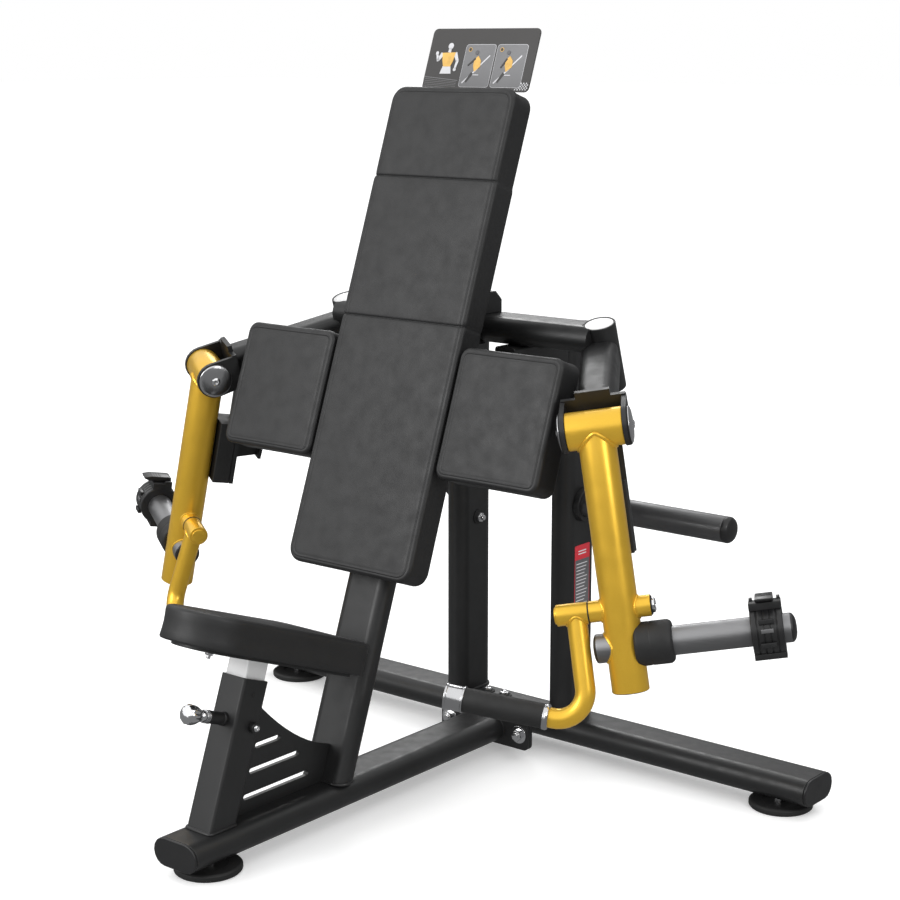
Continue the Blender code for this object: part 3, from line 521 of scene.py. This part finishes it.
# ---- base: feet, flange bolts, weld beads -------------------------------------------------------
def outline_loop(f, w, t, a=0.0, n=20):
    """Points round a flat-oval section, w along b and t along c."""
    h, out = (w - t) / 2, []
    for s in (1, -1):
        for i in range(n + 1):
            k = math.pi * (i / n - 0.5)
            out.append(f.at(a, s * (h + t / 2 * math.cos(k)), s * t / 2 * math.sin(k)))
        p, q = out[-1], f.at(a, -s * h, s * t / 2)
        out += [p.lerp(q, j / 12) for j in range(1, 12)]
    return out


FOOT_TOP = 0.0135       # upper face of the rubber disc
FOOT_NUT_R = 0.0140
FOOT_STUD_R = 0.0065
for node in ("foot_front", "foot_left", "foot_right"):
    low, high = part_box(node)
    mid = Axes(((low.x + high.x) / 2, (low.y + high.y) / 2, low.z), Z, X, Y)
    r = (high.x - low.x) / 2
    foot = Piece("levelling_" + node, "frame", "rubber", RUBBER, CHROME)
    foot.turn(mid, [(0, r - 0.003), (0.003, r), (0.0105, r), (FOOT_TOP, r - 0.004), (FOOT_TOP, r * 0.62),
                    (FOOT_TOP - 0.002, r * 0.58), (FOOT_TOP - 0.002, 0.012)], 0, 72)
    hexagon = circle(FOOT_NUT_R, 6)
    foot.prism(mid, hexagon, FOOT_TOP - 0.003, high.z - 0.0035, 1, 0.0010)
    foot.turn(mid, [(FOOT_TOP - 0.003, FOOT_STUD_R), (high.z, FOOT_STUD_R)], 1, 24)
    foot.done(node)

cap_low, cap_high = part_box("base_end_cap")
TUBE_W, TUBE_T = cap_high.x - cap_low.x, cap_high.z - cap_low.z
beam_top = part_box("column_right")[0].z
cross_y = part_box("cross_end_cap_right")[0].y + TUBE_W / 2
flange_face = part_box("base_beam")[1].y
FLANGE_T = 0.008
FLANGE_BOLT_X = 0.0885
FLANGE_BOLT_UP = 0.031          # above the flange's lower edge
TIE_BOLT_Z = 0.445
bolts = Piece("base_bolts", "frame", "chrome", CHROME, RUBBER)
for s in (1, -1):
    at = Vector((s * FLANGE_BOLT_X, flange_face - FLANGE_T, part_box("base_beam")[0].z + FLANGE_BOLT_UP))
    bolts.bolt(at, -Y, 0.0115, 0, 0, stud=0.003)
    bolts.bolt(at + Y * 2 * FLANGE_T, Y, 0.0115, 0, 0, stud=0.006)
for x in (-0.079, -0.034):
    bolts.bolt(Vector((x, cross_y, beam_top)), Z, 0.0095, 0, 1, stud=0.003)
bolts.done()

column_x = middle("column_right", X)
half_t = TUBE_T / 2
ties = Piece("column_bolts", "frame", "chrome", CHROME, RUBBER)
for s in (1, -1):
    ties.bolt(Vector((s * (column_x - half_t), cross_y, TIE_BOLT_Z)), -X * s, 0.0100, 0, 1, stud=0.007)
ties.done()

welds = Piece("frame_welds", "frame", "black_frame", BLACK)
for s in (1, -1):
    ring = outline_loop(Axes((s * column_x, cross_y, beam_top + 0.001), Z, Y, X), TUBE_W, TUBE_T)
    welds.tube(ring, 0.0034, n=8, closed=True, ripple=0.10)
for node in ("pad_post", "seat_post"):
    low = beam_top + 0.001
    verts = [v.co for v in nodes[node].data.vertices if v.co.z < beam_top + 0.0005]
    y0, y1 = min(v.y for v in verts), max(v.y for v in verts)
    x1 = max(v.x for v in verts)
    if node == "pad_post":
        ring = outline_loop(Axes((0, (y0 + y1) / 2, low), Z, X, Y), 2 * x1, y1 - y0)
    else:
        ring = [Vector((p[0], (y0 + y1) / 2 + p[1], low)) for p in rect(2 * x1, y1 - y0, 0.006, 6)]
    welds.tube(ring, 0.0030, n=8, closed=True, ripple=0.10)
welds.done()

# seat post details: a spare pin hole, drawn as a thin dark disc of painted shade on the face, and a boss
# with its socket screw
post_high = span("seat_post", RISE)[1]
seat_f = middle("seat_slider", FACE)
side_x = span("seat_post", X)[1]
small = Piece("seat_post_fittings", "frame", "plastic", PLASTIC, CHROME, RUBBER)
on_side = Axes(X * side_x + RISE * (post_high - 0.026) + FACE * (seat_f + 0.002), X, FACE, RISE)
# thin dark disc on the side face: painted shade for the pin hole's recess, no hole is cut
small.turn(on_side, [(0, 0.0045), (0.0006, 0.0045)], 2, 28, 0.0003)
boss = on_side.moved(0, -0.0145, -0.055)
small.turn(boss, [(0, 0.0095), (0.010, 0.0095)], 0, 36)
small.bolt(boss.at(0.010), X, 0.0066, 1, socket=True)
small.turn(Axes(boss.at(-2 * side_x), -X, FACE, RISE), [(0, 0.0095), (0.006, 0.0090)], 0, 36)
small.done()

under = Piece("seat_plate_bolts", "seat", "chrome", CHROME)
plate_low = span("seat_plate", RISE)[0]
under.bolt(RISE * plate_low + FACE * (seat_f + 0.100), -RISE, 0.0070, 0, 0, stud=0.006)
under.done()

# ---- pull pin -----------------------------------------------------------------------------------
pin_mid = RISE * middle("pull_pin", RISE)
b0, b1 = span("pin_barrel", FACE)
p0 = span("pull_pin", FACE)[0]
pin_f = Axes(pin_mid, FACE, X, RISE)
barrel = Piece("pull_pin_barrel", "frame", "plastic", PLASTIC, BRIGHT)
barrel.turn(pin_f, [(b0, 0.0125), (b0 + 0.006, 0.0125), (b0 + 0.0065, 0.0112), (b1 - 0.0125, 0.0112),
                    (b1 - 0.0120, 0.0120), (b1 - 0.0095, 0.0120)], 0, 48, 0.0006)
for k in range(3):
    a = b1 - 0.0090 + k * 0.0031
    barrel.turn(pin_f, [(a, 0.0118), (a + 0.0024, 0.0118)], 1, 48, 0.0008)
barrel.done("pin_barrel")
knob = Piece("pull_pin_knob", "pull_pin", "chrome", CHROME)
knob.turn(pin_f, [(p0, 0.0062), (b1 + 0.004, 0.0062)], 0, 32)
knob.turn(pin_f, [(b1 + 0.0006, 0.0105), (b1 + 0.006, 0.0105), (b1 + 0.008, 0.0080),
                  (b1 + 0.013, 0.0080)], 0, 40)
flutes, rows_at = 10, ((0.010, 0.0105), (0.014, 0.0125), (0.022, 0.0160), (0.031, 0.0180), (0.037, 0.0180),
                       (0.042, 0.0150), (0.0445, 0.0100), (0.0452, 0.0030))
loops = []
for a, r in rows_at:
    depth = 0.11 * min(1.0, (0.046 - a) / 0.012)
    ring = []
    for i in range(flutes * 8):
        t = TAU * i / (flutes * 8)
        rr = r * (1 - depth * abs(math.sin(t * flutes / 2)) ** 3)
        ring.append(pin_f.at(b1 + a, rr * math.cos(t), rr * math.sin(t)))
    loops.append(ring)
knob.skin(loops)
knob.done("pull_pin", angle=60)

# ---- storage pegs, stub housings and caps -------------------------------------------------------
for s, tag in ((1, "right"), (-1, "left")):
    low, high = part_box("storage_peg_" + tag)
    root, tip = sorted((abs(low.x), abs(high.x)))
    f = Axes((0, cross_y, (low.z + high.z) / 2), X * s, Y, Z)
    ring_r, peg_r = (high.z - low.z) / 2, 0.025
    # the storage sleeves use the darker steel copy, painted shade for their darker reflections
    peg = Piece("storage_sleeve_" + tag, "frame", "steel", STEEL_SHADED_COPY, BLACK, PLASTIC)
    peg.turn(f, [(root, ring_r), (root + 0.012, ring_r - 0.002)], 1)
    peg.turn(f, [(root + 0.006, peg_r), (tip - 0.016, peg_r)], 0, 64)
    peg.turn(f, [(tip - 0.016, peg_r - 0.002), (tip - 0.015, peg_r + 0.0002), (tip - 0.010, peg_r + 0.0002),
                 (tip - 0.005, peg_r - 0.003), (tip - 0.0015, peg_r - 0.010), (tip, 0.006)], 2, 64, 0.002)
    peg.done("storage_peg_" + tag)

    verts = [v.co for v in nodes["stub_cap_" + tag].data.vertices]
    mid_cap = sum(verts, Vector()) / len(verts)
    body = [v.co for v in nodes["stub_housing_" + tag].data.vertices]
    axis = (mid_cap - sum(body, Vector()) / len(body)).normalized()
    h0, h1 = span("stub_housing_" + tag, axis, mid_cap)
    c1 = span("stub_cap_" + tag, axis, mid_cap)[1]
    f = Axes(mid_cap, axis, X * s)
    house = Piece("stub_sleeve_" + tag, "frame", "black_frame", BLACK)
    house.turn(f, [(h0, 0.0288), (h0 + 0.002, 0.030), (c1 - 0.0012, 0.030), (c1, 0.0290), (c1, 0.0272),
                   (h1 - 0.002, 0.0268)], 0, 72, 0.0008)
    house.done("stub_housing_" + tag)
    lid = Piece("stub_lid_" + tag, "frame", "alloy", ALLOY)
    lid.turn(f, [(h1 - 0.002, 0.0264), (c1 - 0.0010, 0.0264), (c1 - 0.0002, 0.0180),
                 (c1 - 0.0001, 0.004)], 0, 72, 0.0008)
    lid.done("stub_cap_" + tag)


# ---- levers, handles, sleeves, collars ----------------------------------------------------------
SWING0 = math.radians(23.0)     # resting lever angle in its own plane
LEG0 = math.radians(30.5)       # resting angle of the handle's leg
LEVER_R, HUB_R, PEG_R, BAR_R, SWIVEL_R = 0.032, 0.0327, 0.025, 0.0175, 0.0185
HUB_HALF = 0.0485
HANDLE_DROP = 0.190     # swivel axis to the grip line, down the leg
HANDLE_BEND = 0.046
GRIP_LIFT = math.radians(17.5)
GRIP_R = 0.0215
BUMPER_R = 0.0375
DOME_R = 0.034
COLLAR_R = 0.041


def saddle(f, r, big, start=0.0, n=120):
    """Closed line where a tube of radius r along f.a leaves a bigger one about f.b."""
    out = []
    for i in range(n):
        t = TAU * i / n
        b, c = r * math.cos(t), r * math.sin(t)
        out.append(f.at(start + math.sqrt(max(1e-9, big * big - c * c)), b, c))
    return out


def arc_path(a, corner, b, radius, n=14):
    u, v = (corner - a).normalized(), (b - corner).normalized()
    turn = u.angle(v)
    back = radius * math.tan(turn / 2)
    centre = corner + (v - u).normalized() * radius / math.cos(turn / 2)
    side = (corner - u * back - centre).normalized()
    out = [a, a.lerp(corner - u * back, 0.5)]
    for i in range(n + 1):
        t = turn * i / n
        out.append(centre + (side * math.cos(t) + u * math.sin(t)) * radius)
    return out + [out[-1].lerp(b, 0.5), b]


for s, tag in ((1, "right"), (-1, "left")):
    hinge, swivel_joint = joints["lever_hinge_" + tag], joints["handle_swivel_" + tag]
    hub = Vector(hinge["pos_m"])
    u = Vector(hinge["axis"]).normalized() * -s
    lever = (Vector(swivel_joint["pos_m"]) - hub).normalized()
    swing = lever.cross(u) * s
    up = swing * math.sin(SWING0) - lever * math.cos(SWING0)
    out_link = lever * math.sin(SWING0) + swing * math.cos(SWING0)
    leg = out_link * math.sin(LEG0) - up * math.cos(LEG0)
    leg_side = up * math.sin(LEG0) + out_link * math.cos(LEG0)
    h = Axes(hub, u, lever, swing)
    down = Axes(hub, lever, u, swing)
    body = "lever_" + tag

    length = span("lever_arm_" + tag, lever, hub)[1]
    sw = (Vector(swivel_joint["pos_m"]) - hub).length
    sw_half = max(abs(v) for v in span("lever_arm_" + tag, u, hub))
    peg_down = middle("weight_peg_" + tag, lever, hub)
    arm = Piece("lever_tube_" + tag, body, "gold_coat", GOLD, PLASTIC)
    arm.turn(down, [(0, LEVER_R), (length, LEVER_R), (length, LEVER_R - 0.0030),
                    (length - 0.005, LEVER_R - 0.0032)],
             0, 80, 0.0010)
    arm.turn(down, [(length - 0.006, LEVER_R - 0.0035), (length + 0.0001, LEVER_R - 0.0035),
                    (length + 0.0001, LEVER_R - 0.0008), (length + 0.0013, LEVER_R - 0.0022)], 1, 64,
                    0.0005)
    arm.turn(h, [(-HUB_HALF, HUB_R), (HUB_HALF, HUB_R)], 0, 80, 0.0012)
    f_sw = Axes(down.at(sw), u, lever, swing)
    arm.turn(f_sw, [(-sw_half, SWIVEL_R), (sw_half, SWIVEL_R)], 0, 56, 0.0010)
    arm.tube(saddle(down, LEVER_R, HUB_R), 0.0034, n=8, closed=True, hint=lever, ripple=0.08)
    for e in (1, -1):
        cross = Axes(f_sw.o, u * e, lever, swing)
        arm.tube(saddle(cross, SWIVEL_R, LEVER_R), 0.0022, n=8, closed=True, hint=u, ripple=0.10)
    arm.done("lever_arm_" + tag)

    # weight sleeve with its end domes, and the rubber bumper
    pf = Axes(down.at(peg_down), u, lever, swing)
    q0, q1 = span("weight_peg_" + tag, u, pf.o)
    b0, b1 = span("bumper_" + tag, u, pf.o)
    sleeve = Piece("weight_sleeve_" + tag, body, "steel", STEEL, PLASTIC, GOLD)
    sleeve.turn(pf, [(q0 + 0.006, PEG_R), (q1 - 0.009, PEG_R)], 0, 72, 0.0012)
    for a, e in ((q1, 1), (q0, -1)):
        deep = 0.0095 if e > 0 else 0.0062
        end = Axes(pf.at(a - e * deep), u * e, lever, swing)
        sleeve.turn(end, [(-0.004, PEG_R - 0.001), (0.0002, PEG_R), (deep * 0.35, PEG_R - 0.0012),
                          (deep * 0.75, PEG_R - 0.0065), (deep * 0.96, PEG_R - 0.014), (deep, 0.003)], 1,
                          64, 0.0025)
    sleeve.tube(saddle(Axes(pf.o, -u, lever, swing), PEG_R, LEVER_R), 0.0022, 2, 8, True, u, 0.10)
    sleeve.done("weight_peg_" + tag)
    stop = Piece("sleeve_bumper_" + tag, body, "rubber", RUBBER)
    stop.turn(pf, [(b0 + 0.006, 0.0335), (b0 + 0.010, BUMPER_R), (b0 + 0.030, BUMPER_R),
                   (b0 + 0.032, 0.0368),
                   (b0 + 0.034, BUMPER_R), (b1 - 0.007, BUMPER_R), (b1 - 0.0015, 0.0340), (b1, 0.0300)],
                   0, 72, 0.002)
    stop.done("bumper_" + tag)

    # pivot: dark washer, domed cover and button bolt at both ends
    for e, node in ((1, "pivot_pin_" + tag), (-1, "pivot_cover_" + tag)):
        top = max(abs(v) for v in span(node, u * e, hub))
        face = top - 0.0100
        f = Axes(hub, u * e, lever, swing)
        dome = Piece("pivot_dome_%s_%s" % ("outer" if e > 0 else "inner", tag), "frame", "steel", BRIGHT,
                     CHROME, RUBBER)
        dome.turn(f, [(face, DOME_R), (face + 0.0016, DOME_R)], 2, 64, 0.0006)
        cap = [(face + 0.0014, 0.0318)]
        cap += [(face + 0.0022 + 0.0055 * math.sin(k * 0.19), 0.0320 * math.cos(k * 0.19) + 0.0004)
                for k in range(8)]
        dome.turn(f, cap, 0, 72, 0.0008)
        dome.turn(f, [(face, 0.0088), (top - 0.0030, 0.0088), (top - 0.0006, 0.0060), (top, 0.0048),
                      (top, 0.0036),
                      (top - 0.0022, 0.0033)], 1, 40, 0.0008)
        if e > 0:
            dome.turn(f, [(-0.048, 0.0100), (face + 0.001, 0.0100)], 1, 32)
        dome.done(node)

    # handle: swivel hub, leg, bend, bar and weld
    inner = Axes(f_sw.o, -u, leg, leg_side)
    start = sw_half + 0.0003
    end = start + 0.055
    stem = inner.at((start + end) / 2 - 0.006)
    corner = stem + leg * HANDLE_DROP
    grip_dir = (-u * math.cos(GRIP_LIFT) - leg * math.sin(GRIP_LIFT)).normalized()
    grip_len = span("grip_" + tag, grip_dir, corner)
    bar_end = grip_len[1] - 0.006
    handle = Piece("handle_bar_" + tag, "handle_" + tag, "gold_coat", GOLD)
    handle.turn(inner, [(start, SWIVEL_R), (end, SWIVEL_R)], 0, 56, 0.0012)
    handle.tube(arc_path(stem, corner, corner + grip_dir * bar_end, HANDLE_BEND), BAR_R, n=40,
                hint=leg_side)
    handle.tube(saddle(Axes(stem, leg, u, leg_side), BAR_R, SWIVEL_R), 0.0024, n=8, closed=True, hint=leg,
                ripple=0.10)
    handle.done("handle_" + tag)
    g = Axes(corner, grip_dir, leg_side)
    g0, g1 = grip_len
    grip = Piece("grip_sleeve_" + tag, "handle_" + tag, "plastic", GRIPPY, BRIGHT)
    grip.turn(g, [(g0, 0.0195), (g0 + 0.0015, GRIP_R), (g0 + 0.0045, GRIP_R + 0.0015),
                  (g0 + 0.0065, GRIP_R + 0.0008),
                  (g0 + 0.010, GRIP_R + 0.0008)], 1, 64, 0.0008)
    grip.turn(g, [(g0 + 0.0095, GRIP_R), (g1 - 0.0330, GRIP_R)], 0, 64, 0.0008)
    grip.turn(g, [(g1 - 0.034, 0.0232), (g1 - 0.031, 0.0232), (g1 - 0.0305, 0.0222), (g1 - 0.0045, 0.0222),
                  (g1 - 0.0040, 0.0238), (g1 - 0.0008, 0.0238),
                  (g1, 0.0228), (g1, 0.0160), (g1 - 0.002, 0.0150)], 1, 72, 0.0006)
    grip.done("grip_" + tag)
    bolt = Piece("swivel_screw_" + tag, body, "chrome", CHROME, RUBBER, GOLD)
    e0, e1 = span("swivel_bolt_" + tag, u, f_sw.o)
    bolt.turn(f_sw, [(sw_half + 0.0002, 0.0165), (sw_half + 0.0020, 0.0165)], 1, 48, 0.0006)
    bolt.turn(f_sw, [(sw_half + 0.0018, 0.0130), (e1 - 0.0022, 0.0130), (e1 - 0.0003, 0.0102), (e1, 0.0062),
                     (e1 - 0.0035, 0.0050)], 0, 40, 0.0008)
    far = Axes(f_sw.o, -u, lever, swing)
    bolt.turn(far, [(-e0 - 0.0037, 0.0150), (-e0 - 0.0010, 0.0145), (-e0, 0.0080)], 2, 40, 0.0008)
    bolt.turn(far, [(sw_half - 0.0012, SWIVEL_R + 0.0007), (sw_half + 0.0012, SWIVEL_R + 0.0007)], 1, 56,
              0.0004)
    bolt.turn(far, [(0.0, 0.0055), (-e0 - 0.003, 0.0055)], 0, 24)
    bolt.done("swivel_bolt_" + tag)

    # spring collar: ribbed clamp ring, latch seat, keel, and the flip latch
    c0, c1 = span("collar_" + tag, u, pf.o)
    cm, ch = (c0 + c1) / 2, (c1 - c0) / 2
    cf = Axes(pf.at(cm), u, -lever, swing)
    ring = Piece("collar_clamp_" + tag, "collar_" + tag, "plastic", PLASTIC, STEEL)
    wave = []
    for k in range(5):
        a = -ch + 2 * ch * k / 5
        wave += [(a + 0.0004, 0.0395), (a + 0.0016, COLLAR_R), (a + 2 * ch / 5 - 0.0016, COLLAR_R),
                 (a + 2 * ch / 5 - 0.0004, 0.0395)]
    outer = [(-ch, PEG_R + 0.004), (-ch, 0.0380)] + wave + [(ch, 0.0380), (ch, PEG_R + 0.004)]
    ring.turn(cf, outer, 0, 72, 0.0006)
    ring.prism(cf.moved(0, 0.0430, 0), rect(0.014, 0.040, 0.002), -ch, ch, 0, 0.0010)
    ring.prism(cf.moved(0, -0.0425, 0), rect(0.011, 0.030, 0.002), -ch, ch, 0, 0.0010)
    for e in (1, -1):
        ring.prism(cf.moved(e * (ch - 0.0040), 0.0500, -0.012), rect(0.010, 0.016, 0.003), -0.0028,
                   0.0028, 0, 0.0008)
        ring.prism(cf.moved(0, e * 0.020, 0.0385), rect(0.008, 0.007, 0.001), -0.013, 0.013, 0, 0.0006)
    ring.prism(cf.moved(0, 0.004, 0.0402), rect(0.007, 0.0022, 0.0008), -0.0105, 0.0105, 1, 0.0004)
    ring.prism(cf.moved(0, 0.0495, 0.0140), rect(0.005, 0.006, 0.001), -0.003, 0.003, 1, 0.0004)
    ring.done("collar_" + tag)
    l0, l1 = span("collar_latch_" + tag, -lever, pf.o)
    m0, m1 = span("collar_latch_" + tag, swing, pf.o)
    latch = Piece("latch_lever_" + tag, "latch_" + tag, "plastic", PLASTIC)
    body_line = [(l0, m0), (l1 - 0.002, m0 + 0.001), (l1, m0 + 0.006), (l1, m1 - 0.014), (l1 - 0.003, m1),
                 (l1 - 0.006, m1), (l0 + 0.001, m1 - 0.010)]
    latch.prism(Axes(pf.at(cm), u, -lever, swing), body_line, -0.0148, 0.0148, 0, 0.0012)
    for k in range(4):
        rib = Axes(pf.at(cm), u, -lever, swing).moved(0, l1 - 0.0004, m1 - 0.0165 - k * 0.0055)
        latch.prism(rib, rect(0.0022, 0.0020), -0.0125, 0.0125, 0, 0.0005)
    latch.done("collar_latch_" + tag)


# ---- prints: placard and column label -----------------------------------------------------------
def bar(p, q, w, w2=None):
    """Flat strip from p to q in the b, c plane."""
    a, b = Vector(p), Vector(q)
    side = Vector((-(b - a).y, (b - a).x)).normalized()
    w2 = w if w2 is None else w2
    return [tuple(a + side * w / 2), tuple(a - side * w / 2), tuple(b - side * w2 / 2),
            tuple(b + side * w2 / 2)]


(x0, x1), (r0, r1), (_, f1) = span("placard", X), span("placard", RISE), span("placard", FACE)
sheet_f = Axes(X * (x0 + x1) / 2 + RISE * (r0 + r1) / 2 + FACE * f1, FACE, X, RISE)
prints = Piece("placard_print", "frame", "sign", PANEL, PALE, AMBER, SIGN, GREY)


def ink(outline, m, layer=0):
    prints.prism(sheet_f, outline, 0.00005, 0.00030 + 0.00022 * layer, m)


def shifted(outline, dx, dy):
    return [(x + dx, y + dy) for x, y in outline]


W, H = x1 - x0, r1 - r0
for px in (0.000, 0.075):
    ink(shifted(rect(0.0715, 0.084, 0.006), px - 0.0035, -0.012), 1, 0)
    ink(shifted(rect(0.0700, 0.0825, 0.0055), px - 0.0035, -0.012), 0, 1)
    o = px - 0.006
    tilt = 0.004 if px else 0.0
    ink(bar((o - 0.026, -0.046), (o + 0.004, -0.018), 0.0030), 1, 2)
    ink(bar((o + 0.006, -0.014), (o + 0.028, 0.008), 0.0026), 1, 2)
    ink(bar((o - 0.018, -0.044), (o - 0.006, -0.026), 0.0042, 0.0060), 3, 3)
    ink(bar((o - 0.004, -0.030), (o + 0.010, -0.030), 0.0016), 1, 3)
    ink([(o - 0.002, -0.024), (o + 0.010, -0.014), (o + 0.009, -0.002), (o + 0.001, 0.007),
         (o - 0.007, 0.000),
         (o - 0.007, -0.012)], 2, 4)
    ink(bar((o - 0.004, 0.002), (o - 0.020 + tilt, -0.012 - tilt), 0.0040, 0.0026), 3, 5)
    ink(shifted(circle(0.0042, 20), o - 0.004, 0.0135), 4, 5)
    ink(shifted(circle(0.0042, 20), o - 0.0215, 0.0195), 2, 3)
    ink(shifted(circle(0.0032, 20), o - 0.0215, 0.0195), 3, 4)
o = -0.078
ink(shifted(circle(0.0062, 28), o + 0.001, 0.0265), 1, 1)
ink(bar((o + 0.001, 0.022), (o, 0.014), 0.0060, 0.0070), 1, 1)
ink([(o - 0.016, 0.013), (o + 0.016, 0.014), (o + 0.013, -0.004), (o + 0.009, -0.014),
     (o - 0.008, -0.014), (o - 0.012, -0.004)], 2, 2)
ink([(o - 0.009, -0.013), (o + 0.010, -0.013), (o + 0.014, -0.028), (o - 0.013, -0.028)], 1, 1)
ink(bar((o - 0.015, 0.012), (o - 0.024, -0.002), 0.0085, 0.0062), 1, 1)
ink(bar((o - 0.023, -0.003), (o - 0.0285, 0.010), 0.0062, 0.0046), 1, 1)
ink(bar((o + 0.015, 0.013), (o + 0.024, -0.003), 0.0085, 0.0062), 1, 1)
ink(bar((o + 0.024, -0.002), (o + 0.021, -0.018), 0.0062, 0.0044), 1, 1)
ink(shifted(circle(0.0036, 18), o - 0.029, 0.0125), 1, 1)
ink(shifted(circle(0.0034, 18), o + 0.021, -0.0195), 1, 1)
ink(bar((-W / 2 + 0.002, -0.034), (-0.044, -0.041), 0.0012), 0, 0)
for k in range(6):
    ink(bar((-W / 2 + 0.004, -0.038 - k * 0.0036), (-0.046, -0.044 - k * 0.0030), 0.0007), 0, 0)
for i in range(10):
    for j in range(5):
        if (i + j) % 2:
            ink(shifted(rect(0.0026, 0.0026), W / 2 - 0.004 - i * 0.0030, -H / 2 + 0.0045 + j * 0.0030),
                1, 0)
prints.done()

face_x = column_x + half_t
label = Piece("column_label", "frame", "sign", RED, GREY, PALE)
lf = Axes((face_x, cross_y, 0.356), X, Y, Z)
label.prism(lf, rect(0.0500, 0.1460, 0.003), 0.00005, 0.00030, 0)
label.prism(lf.moved(0, 0, -0.0140), rect(0.0470, 0.1150, 0.0015), 0.0001, 0.00050, 1)
for k in range(2):
    label.prism(lf.moved(0, 0, 0.0605 - k * 0.0055), rect(0.026, 0.0022), 0.0001, 0.00050, 2)
for k in range(15):
    wide = 0.036 - 0.009 * ((k * 5) % 4) / 3
    label.prism(lf.moved(0, -0.0195 + wide / 2, 0.0350 - k * 0.0068), rect(wide, 0.0016), 0.0001, 0.00068,
                2)
label.done()

# ---- stage: floor, light, camera ----------------------------------------------------------------
floor_mesh = bmesh.new()
bmesh.ops.create_grid(floor_mesh, x_segments=8, y_segments=8, size=60)
floor_data = bpy.data.meshes.new("floor")
floor_mesh.to_mesh(floor_data)
floor_mesh.free()
floor = bpy.data.objects.new("floor", floor_data)
bpy.context.scene.collection.objects.link(floor)
pale = surface("pale_floor", (0.93, 0.93, 0.93), 0.85, mottle=0.005, bump=0.00001, grain=200)
pale.node_tree.nodes["Principled BSDF"].inputs["Emission Color"].default_value = (1, 1, 1, 1)
pale.node_tree.nodes["Principled BSDF"].inputs["Emission Strength"].default_value = 0.28
floor_data.materials.append(pale)
floor.visible_glossy = False


def lamp(name, kind, energy, at, aim=(0, 0, 0.6), size=1.0, angle=0.0):
    data = bpy.data.lights.new(name, kind)
    data.energy = energy
    if kind == "AREA":
        data.shape, data.size = "DISK", size
    else:
        data.angle = angle
    obj = bpy.data.objects.new(name, data)
    obj.location = at
    obj.rotation_mode = "QUATERNION"
    obj.rotation_quaternion = (Vector(aim) - Vector(at)).to_track_quat("-Z", "Y")
    bpy.context.scene.collection.objects.link(obj)


lamp("overhead", "SUN", 2.7, (-0.6, -1.0, 5), angle=math.radians(140))
lamp("front", "AREA", 80, (-1.6, -4.2, 2.6), size=2.4)
lamp("right", "AREA", 34, (4.2, -0.8, 2.2), size=1.6)
lamp("rear", "AREA", 40, (-2.6, 3.4, 3.0), size=2.0)

world = bpy.data.worlds.new("studio")
world.use_nodes = True
wn, wl = world.node_tree.nodes, world.node_tree.links.new
seen = wn["Background"]
seen.inputs["Color"].default_value = (1, 1, 1, 1)
lit = wn.new("ShaderNodeBackground")
lit.inputs["Color"].default_value = (0.98, 0.99, 1.0, 1)
lit.inputs["Strength"].default_value = 0.22
path, mix = wn.new("ShaderNodeLightPath"), wn.new("ShaderNodeMixShader")
wl(path.outputs["Is Camera Ray"], mix.inputs[0])
wl(lit.outputs[0], mix.inputs[1])
wl(seen.outputs[0], mix.inputs[2])
wl(mix.outputs[0], wn["World Output"].inputs["Surface"])
bpy.context.scene.world = world
bpy.context.scene.view_settings.view_transform = "Standard"

AZIMUTH, ELEVATION = math.radians(39.21), math.radians(11.63)
CAMERA_AT = (2.32796, -2.62529, 1.39150)
LENS_MM, SENSOR_MM = 78.53, 36
back = Vector((math.sin(AZIMUTH) * math.cos(ELEVATION), -math.cos(AZIMUTH) * math.cos(ELEVATION),
               math.sin(ELEVATION)))
camera_data = bpy.data.cameras.new("camera")
camera_data.lens = LENS_MM
camera_data.sensor_width = SENSOR_MM
camera = bpy.data.objects.new("camera", camera_data)
camera.location = CAMERA_AT
camera.rotation_mode = "QUATERNION"
camera.rotation_quaternion = (-back).to_track_quat("-Z", "Y")
bpy.context.scene.collection.objects.link(camera)
bpy.context.scene.camera = camera
